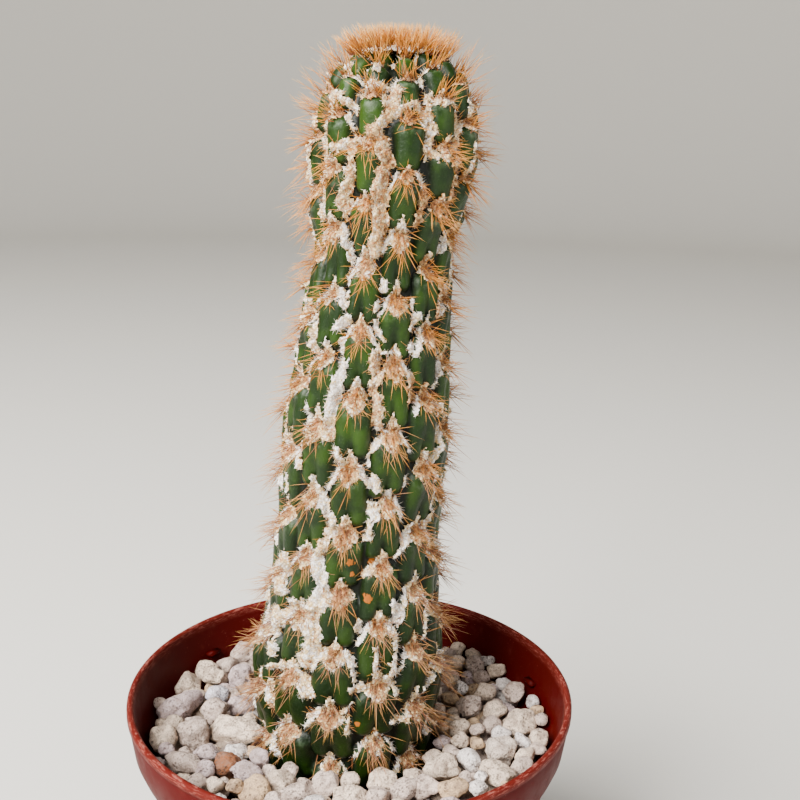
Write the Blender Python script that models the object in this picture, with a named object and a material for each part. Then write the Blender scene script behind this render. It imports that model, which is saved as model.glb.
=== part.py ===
"""Potted golden torch cactus: a ribbed columnar cactus with woolly areoles and golden spines.

The plant stands in a round plastic nursery pot filled with potting mix and topped with pumice.
Lengths are in metres, +Z is up, and the origin is at the middle of the pot's underside.
The side that faces -Y is the front, and the stem leans a little towards +X.
"""

import math
import random

import bmesh
import bpy
import numpy as np
from mathutils import Matrix

# Pot
POT_HEIGHT = 0.085
RIM_RADIUS = 0.0525
COLLAR_HEIGHT = 0.0100
COLLAR_TAPER = 0.14
SHOULDER_HEIGHT = 0.0080
SHOULDER_STEP = 0.0036
SHOULDER_CURVE = (0.30, 0.35)
BASE_RADIUS = 0.0360
WALL = 0.0014
FLOOR = 0.0020
EDGE_ROUND = 0.0004
FOOT_BEVEL = 0.0012
POT_SIDES = 48
DRAIN_HOLES = 6
DRAIN_RADIUS = 0.0035
DRAIN_CIRCLE = 0.0215
DRAIN_SIDES = 12

# Filling, with depths measured down from the pot's lip
GAP = 0.0003
HOLE_GAP = 0.00045
HOLE_TOP = 2
SOIL_DEPTH = 0.0195
BED_DEPTH = 0.0142
# The largest stones in sight, as x, y and radius
LARGE_STONES = (
    (-0.0315, 0.0355, 0.0040),
    (-0.0288, 0.0205, 0.0036),
    (-0.0380, 0.0240, 0.0032),
    (-0.0435, 0.0165, 0.0034),
    (-0.0422, 0.0050, 0.0048),
    (-0.0333, 0.0035, 0.0034),
    (-0.0278, -0.0050, 0.0056),
    (-0.0366, -0.0065, 0.0040),
    (-0.0378, -0.0183, 0.0039),
    (-0.0278, -0.0184, 0.0033),
    (-0.0203, -0.0280, 0.0035),
    (-0.0120, -0.0290, 0.0034),
    (-0.0045, -0.0255, 0.0033),
    (0.0000, -0.0325, 0.0036),
    (0.0070, -0.0258, 0.0034),
    (0.0125, -0.0305, 0.0032),
    (0.0210, -0.0205, 0.0036),
    (0.0226, -0.0285, 0.0031),
    (0.0330, -0.0230, 0.0038),
    (0.0346, -0.0140, 0.0039),
    (0.0406, -0.0015, 0.0037),
    (0.0298, 0.0056, 0.0031),
    (0.0414, 0.0120, 0.0030),
    (0.0330, 0.0265, 0.0031),
)
STONE_SIZES = (0.0045, 0.0036, 0.0028, 0.0022)
STONE_TRIES = (500, 2500, 6000, 5000)
STONE_SPREAD = (0.88, 1.12)
STONE_SPACING = 0.96
STONE_SQUASH = 0.78
STONE_ROUGHNESS = 0.12
STONE_LIFT = 0.0012
STONE_TOPS = -0.0090

# Stem: height above the pot's lip and radius over the lobes, from the foot to the tip
STEM_OUTLINE = (
    (-0.0380, 0.0090),
    (-0.0340, 0.0145),
    (-0.0260, 0.0185),
    (-0.0120, 0.0208),
    (-0.0020, 0.0224),
    (0.0060, 0.0228),
    (0.0220, 0.0206),
    (0.0400, 0.0190),
    (0.0660, 0.0188),
    (0.0800, 0.0174),
    (0.0940, 0.0163),
    (0.1050, 0.0152),
    (0.1120, 0.0167),
    (0.1230, 0.0179),
    (0.1300, 0.0175),
    (0.1365, 0.0158),
    (0.1410, 0.0135),
    (0.1438, 0.0102),
    (0.1452, 0.0058),
    (0.1457, 0.0000),
)
# Height above the lip and sideways place of the stem's middle line
STEM_LEAN = ((-0.038, -0.0010), (0.005, -0.0009), (0.040, 0.0012), (0.072, 0.0033), (0.100, 0.0054),
             (0.125, 0.0079), (0.148, 0.0086))
GRAVEL_LEVEL = -0.0120
RIBS = 13
RIB_STAGGER = 6 / 13
FIRST_RIB_ANGLE = math.radians(-10.5)
FIRST_AREOLE = 0.20
# Height above the lip and spacing of the areoles up the ribs
PITCHES = ((-0.040, 0.0140), (0.020, 0.0140), (0.035, 0.0134), (0.048, 0.0140), (0.063, 0.0162), (0.080, 0.0142),
           (0.095, 0.0132), (0.112, 0.0128), (0.124, 0.0118), (0.134, 0.0095), (0.1457, 0.0045))
# Level and turn of the ribs round the stem, in degrees
RIB_TWIST = ((0, 0), (5, 0), (6.5, -1.5), (8, -4.5), (9, -8), (10, -9), (12, -12))
FURROW_DEPTH = 0.0024
JOINT_DEPTH = 0.0011
JOINT_SHARPNESS = 0.6
GROOVE_DEPTH = 0.0010
SHOULDER_DROP = 0.28
FOOT_FADE = (-0.3, 0.3)
TIP_FADE_RADIUS = 0.0100
COLUMNS_PER_RIB = 4
ROWS_PER_PITCH = 4
LAST_ROW_BELOW_TOP = 0.9
CLOSING_ROWS = (0.4, 0.75)
FOOT_ROUND = 0.0012
RELIEF_STARTS = -0.4
NORMAL_STEP = 0.15

# Wool pads and spines
PAD_HEIGHT = 0.0012
PAD_REACH = 0.30
SPINE_TURNS = (50, -15, -62, 130, 195, 242)
SPINES_PER_AREOLE = 4
SPINE_LENGTHS = (0.0058, 0.0080)
SPINE_HALF_WIDTH = 0.0004
SPINE_ROOT_SHARE = 0.58
SPINE_CLEARANCE = 0.0011
SPINE_TRIES = 12
SPINE_SAMPLES = 9
SPINE_SWAY = 16
SPINE_LEANS = (0.5, 1.0)
LOWEST_TIP = -0.0050
TUFT_RADIUS = 0.0112
TUFT_SPREAD = 1.05
TUFT_SWAY = 0.25
NET_CLEARANCE = 0.0014
DOME_POINTS = 5
TUFT_GAP = 0.0006
TUFT_THICKNESS = 0.0012
TUFT_RINGS = 5
TUFT_SIDES = 22
TUFT_SPINE_LENGTHS = (0.0030, 0.0044)


def clear_scene():
    for obj in list(bpy.data.objects):
        bpy.data.objects.remove(obj, do_unlink=True)


def material(name, colour, roughness):
    made = bpy.data.materials.new(name)
    made.use_nodes = True
    shader = made.node_tree.nodes["Principled BSDF"]
    shader.inputs["Base Color"].default_value = (*colour, 1)
    shader.inputs["Roughness"].default_value = roughness
    shader.inputs["Metallic"].default_value = 0
    made.diffuse_color = (*colour, 1)
    return made


def mesh_object(name, verts, faces, surface=None):
    """An object from points and faces, with its faces turned outwards."""
    mesh = bpy.data.meshes.new(name)
    mesh.from_pydata([tuple(v) for v in verts], [], faces)
    bm = bmesh.new()
    bm.from_mesh(mesh)
    bmesh.ops.recalc_face_normals(bm, faces=bm.faces)
    bm.to_mesh(mesh)
    bm.free()
    if surface:
        mesh.materials.append(surface)
    obj = bpy.data.objects.new(name, mesh)
    bpy.context.scene.collection.objects.link(obj)
    return obj


def apply_modifiers(obj):
    graph = bpy.context.evaluated_depsgraph_get()
    obj.data = bpy.data.meshes.new_from_object(obj.evaluated_get(graph))
    obj.modifiers.clear()


def fuse(obj, shapes):
    """Joins the shapes to the object with one Boolean union, and removes them."""
    group = bpy.data.collections.new(obj.name + "_repeats")
    for shape in shapes:
        group.objects.link(shape)
    union = obj.modifiers.new("fuse", "BOOLEAN")
    union.operation = "UNION"
    union.operand_type = "COLLECTION"
    union.collection = group
    apply_modifiers(obj)
    for shape in shapes:
        bpy.data.objects.remove(shape, do_unlink=True)
    bpy.data.collections.remove(group)


def cut(obj, cutter):
    """Cuts the cutter's shape out of the object, and removes the cutter."""
    difference = obj.modifiers.new("cut", "BOOLEAN")
    difference.operation = "DIFFERENCE"
    difference.object = cutter
    apply_modifiers(obj)
    bpy.data.objects.remove(cutter, do_unlink=True)


def ringed_solid(name, verts, surface=None):
    """A solid through rings of POT_SIDES points each, with a flat face over each end."""
    faces = [tuple(range(POT_SIDES)), tuple(range(len(verts) - POT_SIDES, len(verts)))]
    for start in range(0, len(verts) - POT_SIDES, POT_SIDES):
        for k in range(POT_SIDES):
            a, b = start + k, start + (k + 1) % POT_SIDES
            faces.append((a, b, b + POT_SIDES, a + POT_SIDES))
    return mesh_object(name, verts, faces, surface)


def lathe(name, profile, surface=None):
    """A solid turned round Z from (radius, height) points."""
    angles = [2 * math.pi * k / POT_SIDES for k in range(POT_SIDES)]
    verts = [(r * math.cos(a), r * math.sin(a), h) for r, h in profile for a in angles]
    return ringed_solid(name, verts, surface)


def outer_wall():
    """The pot's outer side from the foot to the lip, as (radius, height)."""
    collar_foot = RIM_RADIUS - COLLAR_TAPER * COLLAR_HEIGHT
    shoulder_top = POT_HEIGHT - COLLAR_HEIGHT
    return [
        (BASE_RADIUS - FOOT_BEVEL, 0),
        (BASE_RADIUS, FOOT_BEVEL),
        (collar_foot - SHOULDER_STEP, shoulder_top - SHOULDER_HEIGHT),
        (collar_foot - SHOULDER_CURVE[0] * SHOULDER_STEP, shoulder_top - SHOULDER_CURVE[1] * SHOULDER_HEIGHT),
        (collar_foot, shoulder_top),
        (RIM_RADIUS, POT_HEIGHT - EDGE_ROUND),
        (RIM_RADIUS - EDGE_ROUND, POT_HEIGHT),
    ]


def inner_wall(top, bottom, clearance=0.0):
    """The pot's inner side between two heights, from the top down, moved in by the clearance."""
    wall = outer_wall()[1:6]
    levels = [h for _, h in wall]
    heights = [top] + [h for h in reversed(levels) if bottom < h < top] + [bottom]
    return [(float(np.interp(h, levels, [r for r, _ in wall])) - WALL - clearance, h) for h in heights]


def build_pot(surface):
    lip = (RIM_RADIUS - WALL + EDGE_ROUND, POT_HEIGHT)
    inner = inner_wall(POT_HEIGHT - EDGE_ROUND, FLOOR)
    pot = lathe("pot", outer_wall() + [lip] + inner, surface)
    for k in range(DRAIN_HOLES):
        angle = 2 * math.pi * (k + 0.5) / DRAIN_HOLES
        place = (DRAIN_CIRCLE * math.cos(angle), DRAIN_CIRCLE * math.sin(angle), FLOOR / 2)
        bpy.ops.mesh.primitive_cylinder_add(
            vertices=DRAIN_SIDES, radius=DRAIN_RADIUS, depth=3 * FLOOR, location=place
        )
        cut(pot, bpy.context.object)
    return pot


def by_table(table, keys):
    """Reads a table of (key, value) rows, and between its rows."""
    return np.interp(keys, [key for key, _ in table], [value for _, value in table])


class Stem:
    """The stem's surface, read by rib (0 to 13 round the stem) and level (areole spacings up it)."""

    def __init__(self):
        heights = np.array([h for h, _ in STEM_OUTLINE])
        radii = np.array([r for _, r in STEM_OUTLINE])
        steps = np.hypot(np.diff(heights), np.diff(radii))
        middle = (heights[1:] + heights[:-1]) / 2
        levels = np.concatenate([[0], np.cumsum(steps / by_table(PITCHES, middle))])
        levels -= np.interp(GRAVEL_LEVEL, heights, levels)
        self.heights, self.radii, self.levels = heights, radii, levels
        self.top = levels[-1]

    def radius(self, level):
        return float(np.interp(level, self.levels, self.radii))

    def height(self, level):
        return float(np.interp(level, self.levels, self.heights))

    def phase(self, rib):
        return FIRST_AREOLE + RIB_STAGGER * (rib % RIBS)

    def relief(self, rib, level):
        """Depth of the skin under the lobes' tops: furrows, joints and grooves, less the wool pads."""
        nearest = round(rib)
        across = abs(rib - nearest)
        side = 2 * across
        down = (self.phase(nearest) - level) % 1
        below = (down - SHOULDER_DROP * side) % 1
        furrow = FURROW_DEPTH * side**3
        joint = JOINT_DEPTH * (1 - side**2) * (1 - math.sin(math.pi * below) ** JOINT_SHARPNESS)
        groove = GROOVE_DEPTH * (1 - side) ** 2 * below
        from_areole = math.hypot(across, min(down, 1 - down))
        pad = PAD_HEIGHT * max(0, 1 - from_areole / PAD_REACH)
        return pad - furrow - joint - groove

    def point(self, rib, level, lift=0.0, relief=True):
        """(place, outward normal) on the skin, lifted along the normal."""
        rise = self.height(level + NORMAL_STEP) - self.height(level - NORMAL_STEP)
        widen = self.radius(level + NORMAL_STEP) - self.radius(level - NORMAL_STEP)
        slant = math.hypot(rise, widen)
        out, up = rise / slant, -widen / slant
        if relief:
            at_foot = min(1, max(0, (level - FOOT_FADE[0]) / (FOOT_FADE[1] - FOOT_FADE[0])))
            at_tip = min(1, self.radius(level) / TIP_FADE_RADIUS)
            lift += self.relief(rib, level) * at_foot * at_tip
        angle = FIRST_RIB_ANGLE + math.radians(by_table(RIB_TWIST, level)) + 2 * math.pi * rib / RIBS
        around = np.array([math.sin(angle), -math.cos(angle), 0])
        lean = by_table(STEM_LEAN, self.height(level))
        place = around * (self.radius(level) + lift * out)
        place += np.array([lean, 0, POT_HEIGHT + self.height(level) + lift * up])
        return place, around * out + np.array([0, 0, up])

    def row_shift(self, rib):
        """How far a rib's rows of points stand above the even rows, so that one meets its areoles."""
        spacing = 1 / ROWS_PER_PITCH
        return (self.phase(rib) + spacing / 2) % spacing - spacing / 2

    def column(self, index):
        """(rib, shift of its rows) of one of the columns of points, which drop to the furrows."""
        rib = index / COLUMNS_PER_RIB
        nearest = round(rib)
        side = 2 * abs(rib - nearest)
        if side == 1:
            shift = (self.row_shift(math.floor(rib)) + self.row_shift(math.ceil(rib))) / 2
        else:
            shift = self.row_shift(nearest)
        return rib, shift - SHOULDER_DROP * side


class SpineRoom:
    """Keeps the spines clear of each other. Those of one areole may stand close at their roots."""

    def __init__(self):
        self.lines = []

    def takes(self, root, tip, family):
        if tip[2] < POT_HEIGHT + LOWEST_TIP:
            return False
        line = root + np.linspace(0, 1, SPINE_SAMPLES)[:, None] * (tip - root)
        for other, other_family in self.lines:
            near = np.linalg.norm(line[:, None] - other[None], axis=2)
            if other_family == family:
                near = near[2:, 2:]
            if near.min() < SPINE_CLEARANCE:
                return False
        self.lines.append((line, family))
        return True


class Skin:
    """Points and three-cornered faces, which spines can be drawn out of."""

    def __init__(self):
        self.verts = []
        self.faces = {}

    def add(self, *face):
        self.faces[frozenset(face)] = face

    def add_band(self, first, second, count, falls):
        """Faces between two rings of points. Each square is split so that it falls to the right or not."""
        added = []
        for k in range(count):
            a, b = first + k, first + (k + 1) % count
            c, d = second + (k + 1) % count, second + k
            added += [(a, b, d), (b, c, d)] if falls(k) else [(a, b, c), (a, c, d)]
        for face in added:
            self.add(*face)
        return added

    def add_cap(self, first, centre, count):
        for k in range(count):
            self.add(first + k, first + (k + 1) % count, centre)

    def draw_out(self, face, tip_of, room, family):
        """Draws a needle out of a face, from a small root near the corner that face lists first."""
        corners = [self.verts[i] for i in face]
        other_share = (1 - SPINE_ROOT_SHARE) / 2
        root = SPINE_ROOT_SHARE * corners[0] + other_share * (corners[1] + corners[2])
        tips = (tip_of(root) for _ in range(SPINE_TRIES))
        tip = next((tip for tip in tips if room.takes(root, tip, family)), None)
        if tip is None:
            return
        kept = self.faces.pop(frozenset(face))
        first = len(self.verts)
        for corner in [self.verts[i] for i in kept]:
            way = (corner - root) / np.linalg.norm(corner - root)
            self.verts.append(root + way * SPINE_HALF_WIDTH)
        self.verts.append(tip)
        for k in range(3):
            after = (k + 1) % 3
            self.add(kept[k], kept[after], first + after)
            self.add(kept[k], first + after, first + k)
            self.add(first + k, first + after, first + 3)

    def to_object(self, name, surface):
        return mesh_object(name, self.verts, list(self.faces.values()), surface)


class StemSkin(Skin):
    """The stem's skin: rows of points from its foot to its tip, one row in four through the areoles."""

    def __init__(self, stem):
        super().__init__()
        self.stem = stem
        self.columns = [stem.column(k) for k in range(RIBS * COLUMNS_PER_RIB)]
        foot_levels = [level for level in stem.levels if level < RELIEF_STARTS]
        for level in foot_levels:
            self.add_row(level, 0, relief=False)
        self.first_row = len(foot_levels)
        self.last_row = math.floor((stem.top - LAST_ROW_BELOW_TOP) * ROWS_PER_PITCH)
        for row in range(self.last_row + 1):
            self.add_row(row / ROWS_PER_PITCH, 1)
        last_level = self.last_row / ROWS_PER_PITCH
        for share in CLOSING_ROWS:
            self.add_row(last_level + share * (stem.top - last_level), 1 - share)
        self.close()

    def add_row(self, level, shift_share, relief=True):
        for rib, shift in self.columns:
            self.verts.append(self.stem.point(rib, level + shift * shift_share, relief=relief)[0])

    def close(self):
        count = len(self.columns)
        rows = len(self.verts) // count
        for row in range(rows - 1):
            start = row * count
            self.add_band(start, start + count, count, lambda k: k % COLUMNS_PER_RIB < COLUMNS_PER_RIB / 2)
        self.verts.append(np.mean(self.verts[:count], axis=0) - np.array([0, 0, FOOT_ROUND]))
        self.verts.append(self.stem.point(0, self.stem.top, relief=False)[0])
        self.add_cap(0, len(self.verts) - 2, count)
        self.add_cap((rows - 1) * count, len(self.verts) - 1, count)

    def faces_at(self, rib, row):
        """The faces that meet at an areole, by the way that a spine of each points."""

        def vert(up, across):
            count = len(self.columns)
            return (self.first_row + row + up) * count + (rib * COLUMNS_PER_RIB + across) % count

        ring = (vert(1, 0), vert(0, 1), vert(-1, 1), vert(-1, 0), vert(-1, -1), vert(0, -1), vert(1, 0))
        faces = [(vert(0, 0), a, b) for a, b in zip(ring, ring[1:])]
        return dict(zip(SPINE_TURNS, faces))

    def areoles(self):
        """(rib, row, level) of the areoles between the stones and the crown."""
        for rib in range(RIBS):
            for row in range(2, self.last_row):
                level = row / ROWS_PER_PITCH + self.stem.row_shift(rib)
                off = (level - self.stem.phase(rib) + 0.5) % 1 - 0.5
                if abs(off) < 0.01 and self.stem.radius(level) > TUFT_RADIUS + NET_CLEARANCE:
                    yield rib, row, level


def areole_tip(draw, frame, turn):
    """Draws the tip of a spine that leaves an areole at an angle round it."""
    outward, right, up = frame

    def tip_of(root):
        angle = math.radians(turn + draw.uniform(-SPINE_SWAY, SPINE_SWAY))
        lean = draw.uniform(*SPINE_LEANS)
        way = outward + (right * math.cos(angle) + up * math.sin(angle)) * lean
        return root + way / np.linalg.norm(way) * draw.uniform(*SPINE_LENGTHS)

    return tip_of


def build_stem(stem, room, surface):
    skin = StemSkin(stem)
    draw = random.Random(5)
    for rib, row, level in skin.areoles():
        outward = stem.point(rib, level)[1]
        right = np.cross([0, 0, 1], outward)
        right /= np.linalg.norm(right)
        frame = (outward, right, np.cross(outward, right))
        under_tuft = stem.radius(level + 0.5) < TUFT_RADIUS + 2 * NET_CLEARANCE
        turns = [t for t in SPINE_TURNS if not (under_tuft and math.sin(math.radians(t)) > 0)]
        faces = skin.faces_at(rib, row)
        for turn in draw.sample(turns, SPINES_PER_AREOLE):
            skin.draw_out(faces[turn], areole_tip(draw, frame, turn), room, (rib, row))
    return skin.to_object("cactus_stem", surface)


def tuft_shell(stem):
    """(skin, upper faces, middle) of the woolly cap, an arched plate with a closed underside."""
    skin = Skin()
    head_first = slice(None, -DOME_POINTS - 1, -1)
    edge = float(np.interp(TUFT_RADIUS, stem.radii[head_first], stem.levels[head_first]))
    for lift in (TUFT_GAP + TUFT_THICKNESS, TUFT_GAP):
        for ring in range(TUFT_RINGS):
            level = edge + (stem.top - edge) * ring / TUFT_RINGS
            for k in range(TUFT_SIDES):
                rib = (k + 0.5 * (ring % 2)) * RIBS / TUFT_SIDES
                skin.verts.append(stem.point(rib, level, lift, relief=False)[0])
        skin.verts.append(stem.point(0, stem.top, lift, relief=False)[0])
    layer = TUFT_RINGS * TUFT_SIDES + 1
    upper = []
    for start in (0, layer):
        for ring in range(TUFT_RINGS - 1):
            first = start + ring * TUFT_SIDES
            band = skin.add_band(first, first + TUFT_SIDES, TUFT_SIDES, lambda k: ring % 2 == 0)
            if start == 0:
                upper += band
        skin.add_cap(start + (TUFT_RINGS - 1) * TUFT_SIDES, start + layer - 1, TUFT_SIDES)
    skin.add_band(0, layer, TUFT_SIDES, lambda k: True)
    return skin, upper, skin.verts[layer - 1]


def build_tuft(stem, room, surface):
    """The wool on the growing tip with its brush of golden spines."""
    skin, upper, middle = tuft_shell(stem)
    draw = random.Random(8)
    draw.shuffle(upper)

    def tip_of(root):
        spread = TUFT_SPREAD * (root - middle) / TUFT_RADIUS
        sway = [draw.uniform(-TUFT_SWAY, TUFT_SWAY) for _ in range(2)]
        way = np.array([spread[0] + sway[0], spread[1] + sway[1], 1])
        return root + way / np.linalg.norm(way) * draw.uniform(*TUFT_SPINE_LENGTHS)

    for face in upper:
        skin.draw_out(face, tip_of, room, face)
    return skin.to_object("crown_tuft", surface)


def stem_hole(stem):
    """The plain foot of the stem with a small gap round it, for the holes in the filling."""
    verts = []
    for level in [level for level in stem.levels if level < HOLE_TOP]:
        drop = FOOT_ROUND + HOLE_GAP if level == stem.levels[0] else 0
        for k in range(POT_SIDES):
            place = stem.point(k * RIBS / POT_SIDES, level, HOLE_GAP, relief=False)[0]
            verts.append(place - np.array([0, 0, drop]))
    return ringed_solid("stem_hole", verts)


def filling(name, stem, top, bottom, surface):
    """A layer that fills the pot between two heights, with the stem's hole through it."""
    layer = lathe(name, inner_wall(top, bottom, GAP), surface)
    cut(layer, stem_hole(stem))
    return layer


def place_stones():
    """(x, y, radius) of stones that lie beside each other round the stem, the largest first."""
    draw = random.Random(3)
    bed = POT_HEIGHT - BED_DEPTH
    outer = inner_wall(POT_HEIGHT, bed)[-1][0] - 2 * GAP
    stem_heights = [h for h, _ in STEM_OUTLINE]
    inner = float(np.interp(STONE_TOPS, stem_heights, [r for _, r in STEM_OUTLINE])) + 2 * GAP
    lean = STEM_LEAN[0][1]
    stones = []
    for x, y, radius in LARGE_STONES:
        pull = min(1, (outer - radius) / math.hypot(x, y))
        stones.append((x * pull, y * pull, radius))
    for size, tries in zip(STONE_SIZES, STONE_TRIES):
        for _ in range(tries):
            radius = size * draw.uniform(*STONE_SPREAD)
            distance = math.sqrt(draw.uniform((inner + radius) ** 2, (outer - radius) ** 2))
            angle = draw.uniform(0, 2 * math.pi)
            x, y = distance * math.cos(angle), distance * math.sin(angle)
            clear = all(math.hypot(x - a, y - b) > STONE_SPACING * (radius + r) for a, b, r in stones)
            if clear and math.hypot(x - lean, y) > inner + radius:
                stones.append((x, y, radius))
    return stones


def build_stone(x, y, radius, draw):
    """A worn lump of pumice, a little flattened, sunk to its waist in the bed."""
    bm = bmesh.new()
    bmesh.ops.create_icosphere(bm, subdivisions=1, radius=radius)
    for vert in bm.verts:
        vert.co *= 1 + draw.uniform(-STONE_ROUGHNESS, STONE_ROUGHNESS)
        vert.co.z *= STONE_SQUASH
    place = Matrix.Translation((x, y, POT_HEIGHT - BED_DEPTH + STONE_LIFT))
    turn = Matrix.Rotation(draw.uniform(0, math.pi), 4, "Z")
    bmesh.ops.transform(bm, matrix=place @ turn, verts=bm.verts)
    verts = [tuple(vert.co) for vert in bm.verts]
    faces = [tuple(vert.index for vert in face.verts) for face in bm.faces]
    bm.free()
    return mesh_object("stone", verts, faces)


def build_pumice(stem, surface):
    bed = filling("pumice", stem, POT_HEIGHT - BED_DEPTH, POT_HEIGHT - SOIL_DEPTH + GAP, surface)
    draw = random.Random(4)
    fuse(bed, [build_stone(x, y, radius, draw) for x, y, radius in place_stones()])
    return bed


def main():
    clear_scene()
    stem = Stem()
    room = SpineRoom()
    build_pot(material("moulded terracotta plastic", (0.45, 0.06, 0.03), 0.4))
    potting_mix = material("dark potting mix", (0.05, 0.035, 0.025), 0.95)
    filling("potting_mix", stem, POT_HEIGHT - SOIL_DEPTH, FLOOR + GAP, potting_mix)
    build_pumice(stem, material("pale pumice", (0.55, 0.48, 0.40), 0.9))
    build_stem(stem, room, material("green cactus skin", (0.07, 0.17, 0.03), 0.45))
    build_tuft(stem, room, material("cream wool and golden spines", (0.62, 0.33, 0.10), 0.8))


if __name__ == "__main__":
    main()
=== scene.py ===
"""Stage and fine pieces of a potted golden torch cactus.

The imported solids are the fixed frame. The pot, the top dressing of pumice, the stem with its wool and
spines, and the crown's brush are made here in full detail, each in the place of its own solid.
Lengths are in metres unless a name or comment says millimetres, +Z is up, and the front faces -Y.
"""

import math
from functools import partial

import bmesh
import bpy
import numpy as np
from bpy.props import FloatProperty, FloatVectorProperty, IntProperty, PointerProperty
from bpy.types import Operator, Panel, PropertyGroup
from mathutils import Matrix, Vector


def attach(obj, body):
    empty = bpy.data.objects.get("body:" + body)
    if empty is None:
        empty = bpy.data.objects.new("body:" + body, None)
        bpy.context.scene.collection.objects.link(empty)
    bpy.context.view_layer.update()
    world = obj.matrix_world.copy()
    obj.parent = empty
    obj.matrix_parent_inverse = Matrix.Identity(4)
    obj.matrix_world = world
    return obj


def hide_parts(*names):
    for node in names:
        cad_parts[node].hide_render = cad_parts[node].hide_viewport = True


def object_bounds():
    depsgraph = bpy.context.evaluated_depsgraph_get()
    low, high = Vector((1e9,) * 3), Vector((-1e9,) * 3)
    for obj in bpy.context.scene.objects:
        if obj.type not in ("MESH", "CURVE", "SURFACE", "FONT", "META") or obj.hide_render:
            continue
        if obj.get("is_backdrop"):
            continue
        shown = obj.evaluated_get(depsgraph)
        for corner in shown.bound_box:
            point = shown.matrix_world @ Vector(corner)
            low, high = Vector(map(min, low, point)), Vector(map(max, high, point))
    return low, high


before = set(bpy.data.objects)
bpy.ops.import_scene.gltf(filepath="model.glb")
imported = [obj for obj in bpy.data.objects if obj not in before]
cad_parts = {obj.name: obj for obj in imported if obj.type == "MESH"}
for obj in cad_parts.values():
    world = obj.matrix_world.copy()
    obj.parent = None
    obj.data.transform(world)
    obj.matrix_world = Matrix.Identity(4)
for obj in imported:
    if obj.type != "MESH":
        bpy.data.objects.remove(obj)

bl_info = {
    "name": "Potted golden torch cactus",
    "version": (1, 0, 0),
    "blender": (4, 5, 0),
    "location": "View3D > Sidebar > Cactus",
    "description": "Makes a potted golden torch cactus with woolly areoles on its packed frame",
    "category": "Add Mesh",
}

MM = 0.001

# Pot
POT_HEIGHT = 0.085
POT_SIDES = 192
POT_WALL = 0.0014
# Outer side of the pot from its foot to its lip, as (radius, height)
POT_OUTER = (
    (0.0348, 0.0000), (0.0360, 0.0012), (0.0475, 0.0670),
    (0.0500, 0.0722), (0.0511, 0.0750), (0.0524, 0.0840),
)
FLOOR_TOP = 0.0020
DRAIN_HOLES = 6
DRAIN_SIDES = 48
DRAIN_RADIUS = 0.0035
DRAIN_CIRCLE = 0.0215
# Where the marks of wear on the lip fade out and where they are full, in metres below its top
LIP_MARKS = (0.0026, 0.0008)
LIP_RADIUS = 0.0008
LIP_INSET = 0.0007
LIP_SIDES = 8
# The lip's bead stands out over a fine groove: how far out of the collar and how far below the lip's top
LIP_BEAD = ((-0.00023, 0.0026), (-0.00035, 0.0021), (0.00010, 0.0017))
BASE_RADIUS = 0.0335
INNER_BASE_RADIUS = 0.0346
BASE_ROUNDING = 0.0006
# Depth, width and height of the steps for stacking, their (radius, height) and their turns round the pot
NUB_SIZE = (0.0026, 0.0044, 0.0015)
NUB_PLACE = (0.0493, POT_HEIGHT - 0.0092)
NUB_TURNS = (20, 139, 258)
NUB_TAPER = 0.55
NUB_ROUNDING = 0.0002

# Stem: height above the pot's lip and radius over the lobes, from the foot to the tip
STEM_OUTLINE = (
    (-0.0380, 0.0090), (-0.0340, 0.0145), (-0.0260, 0.0185), (-0.0120, 0.0208), (-0.0020, 0.0224),
    (0.0060, 0.0228), (0.0220, 0.0206), (0.0400, 0.0190), (0.0660, 0.0188), (0.0800, 0.0174),
    (0.0940, 0.0163), (0.1050, 0.0152), (0.1120, 0.0167), (0.1230, 0.0179), (0.1300, 0.0175),
    (0.1365, 0.0158), (0.1410, 0.0135), (0.1438, 0.0102), (0.1452, 0.0058), (0.1457, 0.0000),
)
CURVE_POINTS = 400
# Lean of the stem to the right by height above the lip
STEM_LEAN = (
    (-0.038, -0.0010), (0.005, -0.0009), (0.040, 0.0012), (0.072, 0.0033), (0.100, 0.0054),
    (0.125, 0.0079), (0.148, 0.0086),
)
# Spacing of the areoles up the stem by height above the lip
PITCHES = (
    (-0.040, 0.0140), (0.020, 0.0140), (0.035, 0.0134), (0.048, 0.0140), (0.063, 0.0162),
    (0.080, 0.0142), (0.095, 0.0132), (0.112, 0.0128), (0.124, 0.0118), (0.134, 0.0095),
    (0.1457, 0.0045),
)
# Levels count areole spacings up from this height over the lip, where the stones lie against the stem
GRAVEL_LEVEL = -0.0120
# Turn of the ribs about the stem by level, in degrees
RIB_TWIST = ((0, 0), (5, 0), (6.5, -1.5), (8, -4.5), (9, -8), (10, -9), (12, -12), (14, -12))
# Step in levels over which the slope of the stem's side is read
SLOPE_STEP = 0.08
# Each rib's first areole lies higher than the last rib's by the stagger, in levels
RIBS = 13
RIB_STAGGER = 6 / 13
FIRST_RIB_ANGLE = math.radians(-10.5)
FIRST_AREOLE = 0.20

# Lobes, in millimetres on a rib 9 mm wide with areoles 14 mm apart. Each lobe has two legs that go down
# from its areole, with (sideways, up) places for their tops and feet
RIB_WIDTH = 9.0
AREOLE_SPACING = 14.0
LEG_TOP = (1.7, -3.4)
LEG_TOP_RADIUS = 2.85
LEG_FOOT = (2.25, -10.8)
LEG_FOOT_RADIUS = 2.2
LOBE_HEIGHT = (2.8, 2.3)
LOBE_POWER = 2.1
LEG_BLEND = 0.4
# Height of the skin in the cleft between the legs, at their tops and at their feet
CLEFT_HEIGHT = (2.8, 1.0)
HEAD_CLEFT_HEIGHT = (2.9, 2.3)
CLEFT_HALF_WIDTH = 2.9
CLEFT_MIDDLE = -6.8
CLEFT_REACH = 6.5
CLEFT_POWER = 3.5
CLEFT_LAST_SHARE = 1.15
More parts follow.
